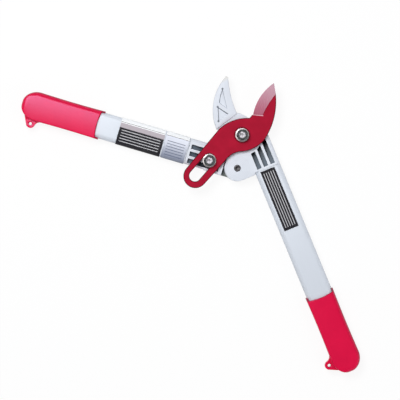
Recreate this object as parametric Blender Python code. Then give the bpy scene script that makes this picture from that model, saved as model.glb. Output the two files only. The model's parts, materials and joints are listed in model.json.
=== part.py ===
"""A bypass lopper for pruning, lying open on its back.

The hook and the fixed handle are one body. The second handle turns about the handle pivot on the
hook head. Its slot bolt runs in a slot in the blade's tail and so drives the blade round the blade
pivot, which gives the cut its leverage.

The blade pivot's axis stands at x = y = 0, the surface that the lopper lies on is z = 0, the fixed
handle runs along -Y and the cutting side faces +Z. The second handle's pieces are modelled round
the handle pivot with their handle along -Y too, and an empty at that pivot opens them.
"""

import math

import bmesh
import bpy
from mathutils import Vector

MM = 0.001

# Clearance between pieces that touch, and between pieces that slide past one another
FIT = 0.3 * MM
SWING_GAP = 0.8 * MM

# How far cutters stand out past what they cut: a little, and out of the way
CUT_PAST = 1.0 * MM
CUT_FAR = 40.0 * MM

# The curved outlines of the hook, the blade and its base are drawn for a hook that ends this many
# millimetres in front of the blade pivot, and grow with the hook's real length
DRAWN_HOOK_LENGTH = 69.2
HOOK_LENGTH = 69.2 * MM

# Heights above the surface that the lopper lies on
MID_PLANE = 10.5 * MM
CASTING_DEPTH = 17.6 * MM
HOOK_RISE = 1.4 * MM
BLADE_THICKNESS = 4.0 * MM
BASE_FACE = MID_PLANE + CASTING_DEPTH / 2
CASTING_BACK = MID_PLANE - CASTING_DEPTH / 2
HOOK_FACE = BASE_FACE + HOOK_RISE
BLADE_BACK = HOOK_FACE + FIT
BLADE_FRONT = BLADE_BACK + BLADE_THICKNESS

# The mechanism: where its axes stand, how far it opens and how its slot lies
HANDLE_PIVOT = Vector((-19.5 * MM, -33.0 * MM))
OPEN_ANGLE = 128.8
SLOT_BOLT_ARM = Vector((0.8 * MM, -33.2 * MM))
TAIL_ANGLE = 206.5
SLOT_WIDTH = 13.0 * MM
SLOT_OFFSET = 1.05 * MM
SLOT_REACH = 24.0 * MM
SLOT_START = 1.0 * MM

# The blade round its slot and at its edge
TAIL_WALL = 7.2 * MM
TAIL_SHIFT = 0.6 * MM
KEEN_EDGE = 0.5 * MM

# Handles: a flat oval aluminium tube on each head's tang
TUBE_WIDTH = 30.5 * MM
TUBE_CORNER = 5.5 * MM
TUBE_WALL = 1.6 * MM
TANG_LENGTH = 34.0 * MM
TANG_TAPER = 2.0 * MM
FIXED_TUBE_X = 12.75 * MM
FIXED_NECK_START = -10.0 * MM
FIXED_TUBE_START = -46.0 * MM
FIXED_GRIP_MOUTH = -205.0 * MM
FIXED_GRIP_END = -298.5 * MM
MOVING_TUBE_X = -3.05 * MM
MOVING_NECK_START = -26.0 * MM
MOVING_TUBE_START = -60.0 * MM
MOVING_GRIP_MOUTH = -167.0 * MM
MOVING_GRIP_END = -258.5 * MM

# Grips: moulded sleeves with a scalloped mouth, a domed end and a hang loop
GRIP_WIDTH = 33.4 * MM
GRIP_DEPTH = 21.0 * MM
GRIP_CORNER = 4.0 * MM
GRIP_WAIST = 0.5 * MM
GRIP_DOME = 18.5 * MM
GRIP_END_WALL = 20.0 * MM
TUBE_END_GAP = 1.0 * MM
MOUTH_SCALLOP = 1.6 * MM
MOUTH_EAR = 3.6 * MM
MOUTH_EAR_WIDTH = 2.0 * MM
MOUTH_ROOM = 5.0 * MM
LOOP_OFFSET = 20.9 * MM
LOOP_FROM_END = 15.9 * MM
LOOP_RADIUS = 5.0 * MM
LOOP_HOLE = 1.8 * MM
LOOP_THICKNESS = 6.0 * MM
LOOP_FILLET = 7.0 * MM
LOOP_ROOT = 5.0 * MM

# Castings
CASTING_EDGE = 1.0 * MM
LOBE_RADIUS = 15.0 * MM
EYE_RADIUS = 13.2 * MM
LAP_STEP = 16.0 * MM
NECK_SETBACK = 0.05 * MM
NECK_INSET = 0.4 * MM
NECK_OVERLAP = 4.0 * MM
BASE_RADIUS = 24.0 * MM
WEB_LENGTH = 18.2 * MM
WEB_CORNER = Vector((1.3 * MM, 1.2 * MM))
HOOK_SLOPE_START = 22.0 * MM
HOOK_TIP_DEPTH = 9.0 * MM
POCKET_DEPTH = 1.6 * MM
GILL_COUNT = 3
GILL_WIDTH = 5.2 * MM
GILL_PITCH = 8.25 * MM
GILL_RIM = 0.75 * MM
GILL_END_MARGIN = 2.6 * MM
GILL_TOP_MARGIN = 4.5 * MM
GILL_BOSS_MARGIN = 1.9 * MM
GILL_DEPTH_TOP = 10.0 * MM
GILL_DEPTH_END = 4.5 * MM
FIXED_GILL_X = 3.75 * MM
MOVING_GILL_X = -9.0 * MM

# Fasteners
BOLT_RADIUS = 4.0 * MM
BOLT_HEAD_FLATS = 13.0 * MM
BOLT_HEAD_HEIGHT = 5.3 * MM
BOLT_END_RISE = 1.2 * MM
SLOT_BOLT_LIFT = 0.5 * MM
WASHER_RADIUS = 7.8 * MM
WASHER_THICKNESS = 1.6 * MM
FRICTION_WASHER_RADIUS = 7.6 * MM
NUT_FLATS = 13.0 * MM
NUT_HEIGHT = 6.0 * MM
COLLAR_RADIUS = 6.2 * MM
COLLAR_WALL = 0.5 * MM
COLLAR_HEIGHT = 2.0 * MM
BUSH_RADIUS = 4.8 * MM
PIVOT_SCREW_RADIUS = 3.7 * MM
PIVOT_SCREW_HEAD = 7.5 * MM
PIVOT_SCREW_HEAD_HEIGHT = 3.6 * MM
PIVOT_SCREW_HEAD_RISE = 1.0 * MM
PIVOT_SOCKET_FLATS = 4.0 * MM
PIVOT_SOCKET_DEPTH = 3.0 * MM
EYE_BUSH_WALL = 1.3 * MM
RIVET_RADIUS = 2.4 * MM
RIVET_HEAD_RADIUS = 4.2 * MM
RIVET_HEAD_HEIGHT = 1.2 * MM
RIVET_DEPTH = 7.0 * MM
RIVET_SPACING = 16.0 * MM
RIVET_FIRST = 9.0 * MM

# Labels: thin films on the tubes
LABEL_THICKNESS = 0.35 * MM
LABEL_MARGIN = 1.5 * MM
LABEL_SIDE_REACH = 2.0 * MM
FIXED_LABEL_WIDTH = 17.3 * MM
FIXED_LABEL_LENGTH = 73.0 * MM
PALE_LABEL_LENGTH = 27.0 * MM
DARK_LABEL_LENGTH = 52.5 * MM

ROUND_STEPS = 32
SMALL_ROUND_STEPS = 16
BLADE_EDGE_STEPS = 20
CORNER_STEPS = 5


def arc(centre, radius, start, end, steps):
    """Points on a circle from one angle to another, in degrees."""
    angles = [math.radians(start + (end - start) * i / steps) for i in range(steps + 1)]
    return [Vector((centre[0] + radius * math.cos(a), centre[1] + radius * math.sin(a))) for a in angles]


def arc_through(first, middle, last, steps):
    """Points on the circle through three points, from the first to the last."""
    a, b, c = Vector(first), Vector(middle), Vector(last)
    spread = 2 * (a.x * (b.y - c.y) + b.x * (c.y - a.y) + c.x * (a.y - b.y))
    squares = a.length_squared, b.length_squared, c.length_squared
    centre = Vector((
        (squares[0] * (b.y - c.y) + squares[1] * (c.y - a.y) + squares[2] * (a.y - b.y)) / spread,
        (squares[0] * (c.x - b.x) + squares[1] * (a.x - c.x) + squares[2] * (b.x - a.x)) / spread,
    ))
    start = math.degrees(math.atan2(a.y - centre.y, a.x - centre.x))
    end = math.degrees(math.atan2(c.y - centre.y, c.x - centre.x))
    anticlockwise = (b - a).cross(c - b) > 0
    sweep = (end - start) % 360 if anticlockwise else -((start - end) % 360)
    return arc(centre, (a - centre).length, start, start + sweep, steps)


def drawn(*points):
    """Points of an outline drawn in millimetres, at the hook's real length."""
    return [Vector(point) * (HOOK_LENGTH / DRAWN_HOOK_LENGTH) for point in points]


def turned(point, degrees):
    """A point of the plan turned about the origin."""
    angle = math.radians(degrees)
    return Vector((
        point[0] * math.cos(angle) - point[1] * math.sin(angle),
        point[0] * math.sin(angle) + point[1] * math.cos(angle),
    ))


def rounded_rectangle(width, depth, corner):
    """A ring of (across, up) points round a rectangle with rounded corners, from its right side on."""
    ring = []
    for quarter, (side, lift) in enumerate(((1, 1), (-1, 1), (-1, -1), (1, -1))):
        centre = (side * (width / 2 - corner), lift * (depth / 2 - corner))
        ring += arc(centre, corner, 90 * quarter, 90 * quarter + 90, CORNER_STEPS)
    return ring


def add_object(name, bm, on):
    """Makes an object from a bmesh, with its faces out and its round sides smooth."""
    bmesh.ops.recalc_face_normals(bm, faces=bm.faces)
    mesh = bpy.data.meshes.new(name)
    bm.to_mesh(mesh)
    bm.free()
    mesh.shade_smooth()
    mesh.set_sharp_from_angle(angle=math.radians(32))
    piece = bpy.data.objects.new(name, mesh)
    bpy.context.scene.collection.objects.link(piece)
    piece.parent = on
    return piece


def tapered_prism(name, lower, upper, bottom, top, on):
    """A closed solid between two outlines of as many points, one above the other."""
    bm = bmesh.new()
    low = [bm.verts.new((x, y, bottom)) for x, y in lower]
    high = [bm.verts.new((x, y, top)) for x, y in upper]
    bm.faces.new(low)
    bm.faces.new(high)
    for i, vert in enumerate(low):
        j = (i + 1) % len(low)
        bm.faces.new((vert, low[j], high[j], high[i]))
    return add_object(name, bm, on)


def prism(name, outline, bottom, top, on):
    """An outline extruded upwards."""
    return tapered_prism(name, outline, outline, bottom, top, on)


def cylinder(name, centre, radius, bottom, top, on, steps=ROUND_STEPS):
    """A round bar standing on end."""
    return prism(name, arc(centre, radius, 0, 360 - 360 / steps, steps - 1), bottom, top, on)


def hexagon(name, centre, flats, bottom, top, on):
    """A hexagonal bar standing on end, with two flats square to X."""
    return prism(name, arc(centre, flats / math.sqrt(3), 30, 330, 5), bottom, top, on)


def along_handle(ring, x, y):
    """A ring across a handle, set at a place along it."""
    return [Vector((x + across, y, MID_PLANE + up)) for across, up in ring]


def loft(name, rings, on):
    """A closed solid through rings of as many points."""
    bm = bmesh.new()
    loops = [[bm.verts.new(point) for point in ring] for ring in rings]
    bm.faces.new(loops[0])
    bm.faces.new(loops[-1])
    for near, far in zip(loops, loops[1:]):
        for i, vert in enumerate(near):
            j = (i + 1) % len(near)
            bm.faces.new((vert, near[j], far[j], far[i]))
    return add_object(name, bm, on)


def spun(name, centre, profile, on):
    """A profile of (radius, height) points, closed or ending on the axis, spun round."""
    bm = bmesh.new()
    closed = all(radius > 0 for radius, _ in profile)
    verts = [bm.verts.new((centre[0] + radius, centre[1], height)) for radius, height in profile]
    edges = [bm.edges.new(pair) for pair in zip(verts, verts[1:])]
    if closed:
        edges.append(bm.edges.new((verts[-1], verts[0])))
    bmesh.ops.spin(
        bm,
        geom=verts + edges,
        cent=(centre[0], centre[1], 0),
        axis=(0, 0, 1),
        angle=math.tau,
        steps=ROUND_STEPS,
        use_merge=True,
    )
    bmesh.ops.remove_doubles(bm, verts=bm.verts, dist=0.001 * MM)
    return add_object(name, bm, on)


def combine(piece, other, operation):
    """Joins or cuts a piece with a helper that is left out of the part."""
    other.hide_render = True
    other.display_type = "WIRE"
    step = piece.modifiers.new(other.name, "BOOLEAN")
    step.operation = operation
    step.object = other


def join(piece, other):
    combine(piece, other, "UNION")


def cut(piece, other):
    combine(piece, other, "DIFFERENCE")


def soften(piece, width, segments=2):
    """Rounds the sharp edges of a piece."""
    bevel = piece.modifiers.new("edges", "BEVEL")
    bevel.width = width
    bevel.segments = segments
    bevel.limit_method = "ANGLE"
    bevel.angle_limit = math.radians(50)


def finish(piece, colour, roughness, metallic):
    """Gives a piece its own material."""
    material = bpy.data.materials.new(piece.name)
    material.use_nodes = True
    shader = material.node_tree.nodes["Principled BSDF"]
    shader.inputs["Base Color"].default_value = (*colour, 1)
    shader.inputs["Roughness"].default_value = roughness
    shader.inputs["Metallic"].default_value = metallic
    material.diffuse_color = (*colour, 1)
    piece.data.materials.append(material)
    return piece


def cast_aluminium(piece):
    return finish(piece, (0.72, 0.74, 0.79), 0.45, 0.35)


def satin_aluminium(piece):
    return finish(piece, (0.74, 0.77, 0.82), 0.38, 0.5)


def bright_steel(piece):
    return finish(piece, (0.6, 0.6, 0.6), 0.25, 1.0)


def dark_steel(piece):
    return finish(piece, (0.05, 0.05, 0.055), 0.4, 0.8)


def red_coating(piece):
    return finish(piece, (0.42, 0.01, 0.028), 0.4, 0.0)


def red_rubber(piece):
    return finish(piece, (0.75, 0.02, 0.08), 0.5, 0.0)


def dark_film(piece):
    return finish(piece, (0.02, 0.02, 0.025), 0.35, 0.0)


def pale_film(piece):
    return finish(piece, (0.6, 0.65, 0.75), 0.35, 0.0)


def neck_and_tang(head, x, inner_end, tube_start, on):
    """The stretch of a head that carries on the tube's profile, and the tang that fills the tube."""
    profile = rounded_rectangle(TUBE_WIDTH, CASTING_DEPTH - 2 * NECK_SETBACK, TUBE_CORNER)
    neck = loft(
        head.name + ".neck",
        [along_handle(profile, x, inner_end), along_handle(profile, x, tube_start)],
        on,
    )
    inset = TUBE_WALL + FIT
    bore = rounded_rectangle(TUBE_WIDTH - 2 * inset, CASTING_DEPTH - 2 * inset, TUBE_CORNER - inset)
    thinner = 2 * inset + TANG_TAPER
    tip = rounded_rectangle(TUBE_WIDTH - thinner, CASTING_DEPTH - thinner, TUBE_CORNER - inset)
    tang = loft(
        head.name + ".tang",
        [
            along_handle(bore, x, tube_start + GILL_END_MARGIN / 2),
            along_handle(bore, x, tube_start - TANG_LENGTH + TANG_TAPER),
            along_handle(tip, x, tube_start - TANG_LENGTH),
        ],
        on,
    )
    join(head, neck)
    join(head, tang)


def gill(head, left, tops, end, on):
    """A long pocket in a head's front, deep at its inner end and running out towards the tube."""
    bm = bmesh.new()
    front = BASE_FACE + FIT
    corners = ((left, tops[0]), (left + GILL_WIDTH, tops[1]), (left + GILL_WIDTH, end), (left, end))
    depths = (GILL_DEPTH_TOP, GILL_DEPTH_TOP, GILL_DEPTH_END, GILL_DEPTH_END)
    low = [bm.verts.new((x, y, BASE_FACE - depth)) for (x, y), depth in zip(corners, depths)]
    high = [bm.verts.new((x, y, front)) for x, y in corners]
    bm.faces.new(low)
    bm.faces.new(high)
    for i, vert in enumerate(low):
        j = (i + 1) % len(low)
        bm.faces.new((vert, low[j], high[j], high[i]))
    return add_object(f"{head.name}.gill.{round(left / MM)}", bm, on)


def rivet_places(x, tube_start):
    """Where the rivets stand that hold a tube on its tang, from the back."""
    first = tube_start - RIVET_FIRST
    return [Vector((x, first)), Vector((x, first - RIVET_SPACING))]


def rivet_holes(piece, x, tube_start, on):
    for number, place in enumerate(rivet_places(x, tube_start), start=1):
        hole = cylinder(
            f"{piece.name}.rivet_hole.{number}",
            place,
            RIVET_RADIUS + FIT,
            -CUT_PAST,
            CASTING_BACK + RIVET_DEPTH + FIT,
            on,
            SMALL_ROUND_STEPS,
        )
        cut(piece, hole)


def hook_outline():
    """The raised hook, from its tip down the cutting side, along its foot and up its back."""
    inner = arc_through(*drawn((10.8, 68.4), (5.9, 49.5), (4.0, 26.2)), 14)
    foot = arc_through(*drawn((3.4, 24.6), (-10.0, 21.2), (-24.6, 16.9)), 5)
    back = arc_through(*drawn((-24.5, 19.2), (-16.0, 47.5), (8.4, 69.2)), 16)
    return inner + foot + back


def base_outline():
    """The plate that carries the blade pivot and the lobe of the handle pivot."""
    throat = arc_through(*drawn((2.5, 27.0), (9.6, 21.6), (13.2, 16.8)), 6)
    shoulder = arc((0, 0), BASE_RADIUS, 24, -4, 4)
    tube_right = FIXED_TUBE_X + TUBE_WIDTH / 2
    left_of_tube = FIXED_TUBE_X - TUBE_WIDTH / 2 - FIT
    neck_side = [
        Vector((tube_right - NECK_INSET, FIXED_NECK_START - CASTING_EDGE)),
        Vector((tube_right - NECK_INSET, FIXED_NECK_START - NECK_OVERLAP)),
        Vector((tube_right - 2 * TUBE_CORNER, FIXED_NECK_START - 3 * NECK_OVERLAP)),
        Vector((FIXED_TUBE_X - TUBE_CORNER, FIXED_TUBE_START + NECK_OVERLAP / 2)),
        Vector((left_of_tube, FIXED_TUBE_START + FIT)),
        Vector((left_of_tube, HANDLE_PIVOT.y - LOBE_RADIUS)),
    ]
    lap_direction = 270 - OPEN_ANGLE
    lobe = arc(HANDLE_PIVOT, LOBE_RADIUS, 270, lap_direction, 14)
    web_end = lobe[-1] + turned((1, 0), lap_direction - 90) * WEB_LENGTH
    back = arc_through(web_end + WEB_CORNER, *drawn((-20.7, 4.0), (-24.0, 20.0)), 5)
    return throat + shoulder + neck_side + lobe + [web_end] + back + drawn((-14.0, 30.0))


def moving_head_corner():
    """The corner of the moving head's body at the step of its lap, on the outer side."""
    return Vector((MOVING_TUBE_X - TUBE_WIDTH / 2, -LAP_STEP - NECK_OVERLAP / 2))


def moving_head_outline():
    """The eye, the tongue behind the lobe and the body up to the neck."""
    corner = moving_head_corner()
    eye = arc((0, 0), EYE_RADIUS, 0, 165, 14)
    return [Vector((EYE_RADIUS, MOVING_NECK_START - 2.5 * NECK_OVERLAP))] + eye + [
        corner,
        Vector((corner.x, MOVING_NECK_START - NECK_OVERLAP)),
        Vector((corner.x + TUBE_CORNER, MOVING_NECK_START - 3 * NECK_OVERLAP)),
        Vector((EYE_RADIUS - TUBE_CORNER, MOVING_NECK_START - 4.5 * NECK_OVERLAP)),
    ]


def lap_clearance(on):
    """The room that the moving head's tongue needs in the back half of the hook head."""
    reach = EYE_RADIUS + SWING_GAP
    corner = turned(moving_head_corner(), -OPEN_ANGLE)
    away = turned((-1, 0), -OPEN_ANGLE) * SWING_GAP
    outward = turned((0, -1), -OPEN_ANGLE) * 2 * LOBE_RADIUS
    below = -1.5 * LOBE_RADIUS
    points = [Vector((reach, below)), Vector((reach, 0))]
    points += arc((0, 0), reach, 5, 165 - OPEN_ANGLE, 5)
    points += [corner + away, corner + away + outward]
    points += [Vector((-2.5 * LOBE_RADIUS, 0)), Vector((-2 * LOBE_RADIUS, below))]
    outline = [point + HANDLE_PIVOT for point in points]
    return prism("hook_head.lap", outline, -CUT_PAST, MID_PLANE + FIT / 2, on)


def hook_back_slope(on):
    """What is taken off the hook's back, so that it thins towards its tip."""
    bm = bmesh.new()
    tip_back = HOOK_FACE - HOOK_TIP_DEPTH
    side = [
        (HOOK_SLOPE_START, -CUT_PAST),
        (HOOK_SLOPE_START, CASTING_BACK),
        (HOOK_LENGTH, tip_back),
        (HOOK_LENGTH + CUT_FAR, tip_back),
        (HOOK_LENGTH + CUT_FAR, -CUT_PAST),
    ]
    near = [bm.verts.new((-CUT_FAR, y, z)) for y, z in side]
    far = [bm.verts.new((CUT_FAR, y, z)) for y, z in side]
    bm.faces.new(near)
    bm.faces.new(far)
    for i, vert in enumerate(near):
        j = (i + 1) % len(near)
        bm.faces.new((vert, near[j], far[j], far[i]))
    return add_object("hook_head.back_slope", bm, on)


def hook_pockets(on):
    """The two three-cornered hollows in the hook's face."""
    upper = drawn((-0.6, 57.6), (-6.4, 51.2), (-10.6, 44.0), (-4.3, 34.0), (-2.4, 45.0))
    lower = drawn((-13.6, 40.6), (-19.0, 25.0), (-5.2, 28.6))
    floor = HOOK_FACE - POCKET_DEPTH
    above = HOOK_FACE + FIT
    return [
        prism("hook_head.upper_pocket", upper, floor, above, on),
        prism("hook_head.lower_pocket", lower, floor, above, on),
    ]


def hook_head(on):
    """The hook, the base of the blade, the lobe of the handle pivot and the neck, cast in one."""
    head = prism("hook_head", base_outline(), CASTING_BACK, BASE_FACE, on)
    soften(head, CASTING_EDGE)
    hook = prism("hook_head.hook", hook_outline(), CASTING_BACK, HOOK_FACE, on)
    soften(hook, CASTING_EDGE)
    join(head, hook)
    neck_and_tang(head, FIXED_TUBE_X, FIXED_NECK_START, FIXED_TUBE_START, on)
    cut(head, lap_clearance(on))
    cut(head, hook_back_slope(on))
    for pocket in hook_pockets(on):
        cut(head, pocket)
    first_left = FIXED_GILL_X - GILL_WIDTH / 2
    gill_reach = first_left + GILL_WIDTH + (GILL_COUNT - 1) * GILL_PITCH + GILL_RIM
    for place in range(GILL_COUNT):
        left = first_left + place * GILL_PITCH
        tops = [-math.sqrt(gill_reach ** 2 - x ** 2) for x in (left, left + GILL_WIDTH)]
        cut(head, gill(head, left, tops, FIXED_TUBE_START + GILL_END_MARGIN, on))
    cut(head, cylinder("hook_head.bore", (0, 0), BOLT_RADIUS + FIT, -CUT_PAST, BLADE_BACK + CUT_PAST, on))
    head_room = hexagon(
        "hook_head.bolt_seat",
        (0, 0),
        BOLT_HEAD_FLATS + 2 * FIT,
        -CUT_PAST,
        BOLT_HEAD_HEIGHT + FIT,
        on,
    )
    cut(head, head_room)
    cut(head, cylinder("hook_head.screw_bore", HANDLE_PIVOT, PIVOT_SCREW_RADIUS + FIT, 0, BLADE_BACK, on))
    rivet_holes(head, FIXED_TUBE_X, FIXED_TUBE_START, on)
    return cast_aluminium(head)


def moving_head(on):
    """The eye, the boss of the slot bolt and the neck, cast in one."""
    head = prism("moving_head", moving_head_outline(), CASTING_BACK, BASE_FACE, on)
    soften(head, CASTING_EDGE)
    lap = prism(
        "moving_head.lap",
        [
            Vector((-CUT_FAR, -LAP_STEP)),
            Vector((CUT_FAR, -LAP_STEP)),
            Vector((CUT_FAR, CUT_FAR)),
            Vector((-CUT_FAR, CUT_FAR)),
        ],
        MID_PLANE - FIT / 2,
        BASE_FACE + CUT_PAST,
        on,
    )
    cut(head, lap)
    neck_and_tang(head, MOVING_TUBE_X, MOVING_NECK_START, MOVING_TUBE_START, on)
    end = MOVING_TUBE_START + GILL_END_MARGIN
    below_boss = SLOT_BOLT_ARM.y - WASHER_RADIUS - GILL_BOSS_MARGIN
    above_boss = -LAP_STEP - GILL_TOP_MARGIN
    tops = (above_boss, below_boss, above_boss)
    for place, top in enumerate(tops):
        left = MOVING_GILL_X - GILL_WIDTH / 2 + place * GILL_PITCH
        pocket = gill(head, left, (top, top), end, on)
        if top == above_boss:
            boss = cylinder(
                f"{pocket.name}.boss",
                SLOT_BOLT_ARM,
                WASHER_RADIUS,
                CASTING_BACK,
                BASE_FACE + CUT_PAST,
                on,
            )
            cut(pocket, boss)
        cut(head, pocket)
    cut(head, cylinder("moving_head.bore", SLOT_BOLT_ARM, BOLT_RADIUS + FIT, -CUT_PAST, BLADE_BACK, on))
    head_room = hexagon(
        "moving_head.bolt_seat",
        SLOT_BOLT_ARM,
        BOLT_HEAD_FLATS + 2 * FIT,
        -CUT_PAST,
        SLOT_BOLT_LIFT + BOLT_HEAD_HEIGHT + FIT,
        on,
    )
    cut(head, head_room)
    bush_room = PIVOT_SCREW_RADIUS + EYE_BUSH_WALL + 2 * FIT
    cut(head, cylinder("moving_head.eye_bore", (0, 0), bush_room, -CUT_PAST, MID_PLANE + CUT_PAST, on))
    screw_room = cylinder(
        "moving_head.screw_seat",
        (0, 0),
        PIVOT_SCREW_HEAD + FIT,
        -CUT_PAST,
        CASTING_BACK - PIVOT_SCREW_HEAD_RISE + PIVOT_SCREW_HEAD_HEIGHT + FIT,
        on,
    )
    cut(head, screw_room)
    rivet_holes(head, MOVING_TUBE_X, MOVING_TUBE_START, on)
    return cast_aluminium(head)


def tube(name, x, start, end, on):
    """A flat oval tube, open at both ends."""
    bm = bmesh.new()
    outer = along_handle(rounded_rectangle(TUBE_WIDTH, CASTING_DEPTH, TUBE_CORNER), x, start)
    bore = rounded_rectangle(TUBE_WIDTH - 2 * TUBE_WALL, CASTING_DEPTH - 2 * TUBE_WALL, TUBE_CORNER - TUBE_WALL)
    inner = along_handle(bore, x, start)
    outside = [bm.verts.new(point) for point in outer]
    inside = [bm.verts.new(point) for point in inner]
    rim = []
    for i, vert in enumerate(outside):
        j = (i + 1) % len(outside)
        rim.append(bm.faces.new((vert, outside[j], inside[j], inside[i])))
    extruded = bmesh.ops.extrude_face_region(bm, geom=rim)["geom"]
    moved = [item for item in extruded if isinstance(item, bmesh.types.BMVert)]
    bmesh.ops.translate(bm, verts=moved, vec=(0, end - start, 0))
    piece = add_object(name, bm, on)
    rivet_holes(piece, x, start + FIT, on)
    return satin_aluminium(piece)


def rivets(name, x, tube_start, on):
    """The domed rivets through a tube's back wall into the tang."""
    low = CASTING_BACK - FIT
    dome = arc((0, 0), 1, -90, 0, 4)
    for number, place in enumerate(rivet_places(x, tube_start), start=1):
        profile = [(RIVET_HEAD_RADIUS * p.x, low + RIVET_HEAD_HEIGHT * p.y) for p in dome]
        profile[0] = (0, low - RIVET_HEAD_HEIGHT)
        profile += [(RIVET_RADIUS, low), (RIVET_RADIUS, CASTING_BACK + RIVET_DEPTH), (0, CASTING_BACK + RIVET_DEPTH)]
        bright_steel(spun(f"{name}_{number}", place, profile, on))


def grip_ring(x, y, across=1.0, deep=1.0, waist=0.0):
    """A ring of a grip's outside, narrowed and thinned by two factors."""
    width = GRIP_WIDTH - 2 * waist
    ring = rounded_rectangle(width * across, GRIP_DEPTH * deep, GRIP_CORNER * min(across, deep))
    return along_handle(ring, x, y)


def loop_outline():
    """The hang loop and its web from the handle's middle line outwards, with a fillet towards the mouth."""
    side = GRIP_WIDTH / 2 - GRIP_WAIST / 2
    inside = side - LOOP_ROOT
    loop = Vector((LOOP_OFFSET, 0))
    fillet_across = side + LOOP_FILLET
    fillet_along = math.sqrt((LOOP_RADIUS + LOOP_FILLET) ** 2 - (fillet_across - LOOP_OFFSET) ** 2)
    centre = Vector((fillet_across, fillet_along))
    towards_loop = math.degrees(math.atan2(-fillet_along, LOOP_OFFSET - fillet_across)) % 360
    fillet = arc(centre, LOOP_FILLET, 180, towards_loop, 6)
    around = arc(loop, LOOP_RADIUS, towards_loop - 180, -100, 12)
    return [Vector((inside, fillet_along))] + fillet + around[1:] + [Vector((inside, -LOOP_RADIUS - LOOP_ROOT))]


def grip(name, x, mouth, end, loop_side, on):
    """A moulded grip over a tube's end, with a scalloped mouth and a hang loop on its inner side."""
    start = mouth + MOUTH_EAR
    dome = end + GRIP_DOME
    rings = []
    for step in range(9):
        part = step / 8
        rings.append(grip_ring(x, start + (dome - start) * part, waist=GRIP_WAIST * math.sin(math.pi * part)))
    last = math.radians(82)
    for step in range(1, 9):
        angle = last * step / 8
        fall = GRIP_DOME * math.sin(angle) / math.sin(last)
        rings.append(grip_ring(x, dome - fall, math.cos(angle), math.sqrt(1 - math.sin(angle) ** 4)))
    piece = loft(name, rings, on)
    loop = Vector((x + loop_side * LOOP_OFFSET, end + LOOP_FROM_END))
    tab = prism(
        name + ".tab",
        [Vector((x + loop_side * across, loop.y + along)) for across, along in loop_outline()],
        MID_PLANE - LOOP_THICKNESS / 2,
        MID_PLANE + LOOP_THICKNESS / 2,
        on,
    )
    soften(tab, CASTING_EDGE)
    join(piece, tab)
    cut(piece, cylinder(name + ".loop_hole", loop, LOOP_HOLE, 0, GRIP_DEPTH, on, SMALL_ROUND_STEPS))
    room = rounded_rectangle(TUBE_WIDTH + 2 * FIT, CASTING_DEPTH + 2 * FIT, TUBE_CORNER + FIT)
    cavity = loft(
        name + ".cavity",
        [along_handle(room, x, start + MOUTH_ROOM), along_handle(room, x, end + GRIP_END_WALL)],
        on,
    )
    cut(piece, cavity)
    reach = GRIP_WIDTH / 2 - MOUTH_EAR_WIDTH
    scallop = arc_through((x - reach, mouth), (x, mouth - MOUTH_SCALLOP), (x + reach, mouth), 8)
    opening = [Vector((x - reach, start + MOUTH_ROOM))] + scallop + [Vector((x + reach, start + MOUTH_ROOM))]
    cut(piece, prism(name + ".mouth", opening, -CUT_PAST, GRIP_DEPTH + CUT_PAST, on))
    return red_rubber(piece)


def slot_bolt_at_rest():
    """Where the slot bolt stands with the handles open."""
    return HANDLE_PIVOT + turned(SLOT_BOLT_ARM, -OPEN_ANGLE)


def slot_ends():
    """The centres of the slot's two ends, off the bolt's own line so that its play is shared out."""
    along = turned((1, 0), TAIL_ANGLE)
    across = turned((0, 1), TAIL_ANGLE)
    line = slot_bolt_at_rest() - across * SLOT_OFFSET
    return line - along * SLOT_START, line + along * SLOT_REACH


def blade_edges():
    """The cutting edge from the heel to the tip, and the inner line of the ground bevel beside it."""
    edge = arc_through(*drawn((20.6, 17.0), (36.2, 32.8), (56.4, 41.2)), BLADE_EDGE_STEPS)
    bevel = arc_through(*drawn((30.2, 12.0), (41.2, 21.2), (53.4, 28.6)), BLADE_EDGE_STEPS)
    return edge, bevel


def blade_body_outline(spine_end):
    """The blade from the notch by its heel, over the tail and back along the spine."""
    notch = drawn((18.4, 16.5), (15.8, 14.9))
    top = arc_through(*drawn((14.4, 15.0), (-3.5, 19.4), (-22.0, 16.4)), 16)
    tail_centre = slot_ends()[1] + turned((0, 1), TAIL_ANGLE) * TAIL_SHIFT
    tail_end = arc(tail_centre, SLOT_WIDTH / 2 + TAIL_WALL, TAIL_ANGLE - 90, TAIL_ANGLE + 90, BLADE_EDGE_STEPS)
    waist = arc_through(*drawn((-30.0, -20.5), (-20.5, -16.4), (-10.5, -16.4)), 8)
    belly = arc_through(*drawn((-10.5, -16.4), (4.5, -19.2), (21.0, -15.2)), 12)
    spine = arc_through(*drawn((21.0, -15.2), (40.2, 2.6)), spine_end, 18)
    return notch + top + tail_end + waist + belly[1:] + spine[1:-1]


def stadium(start, end, radius):
    """The outline of a slot with round ends."""
    heading = math.degrees(math.atan2(end.y - start.y, end.x - start.x))
    return arc(end, radius, heading - 90, heading + 90, 12) + arc(start, radius, heading + 90, heading + 270, 12)


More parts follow.
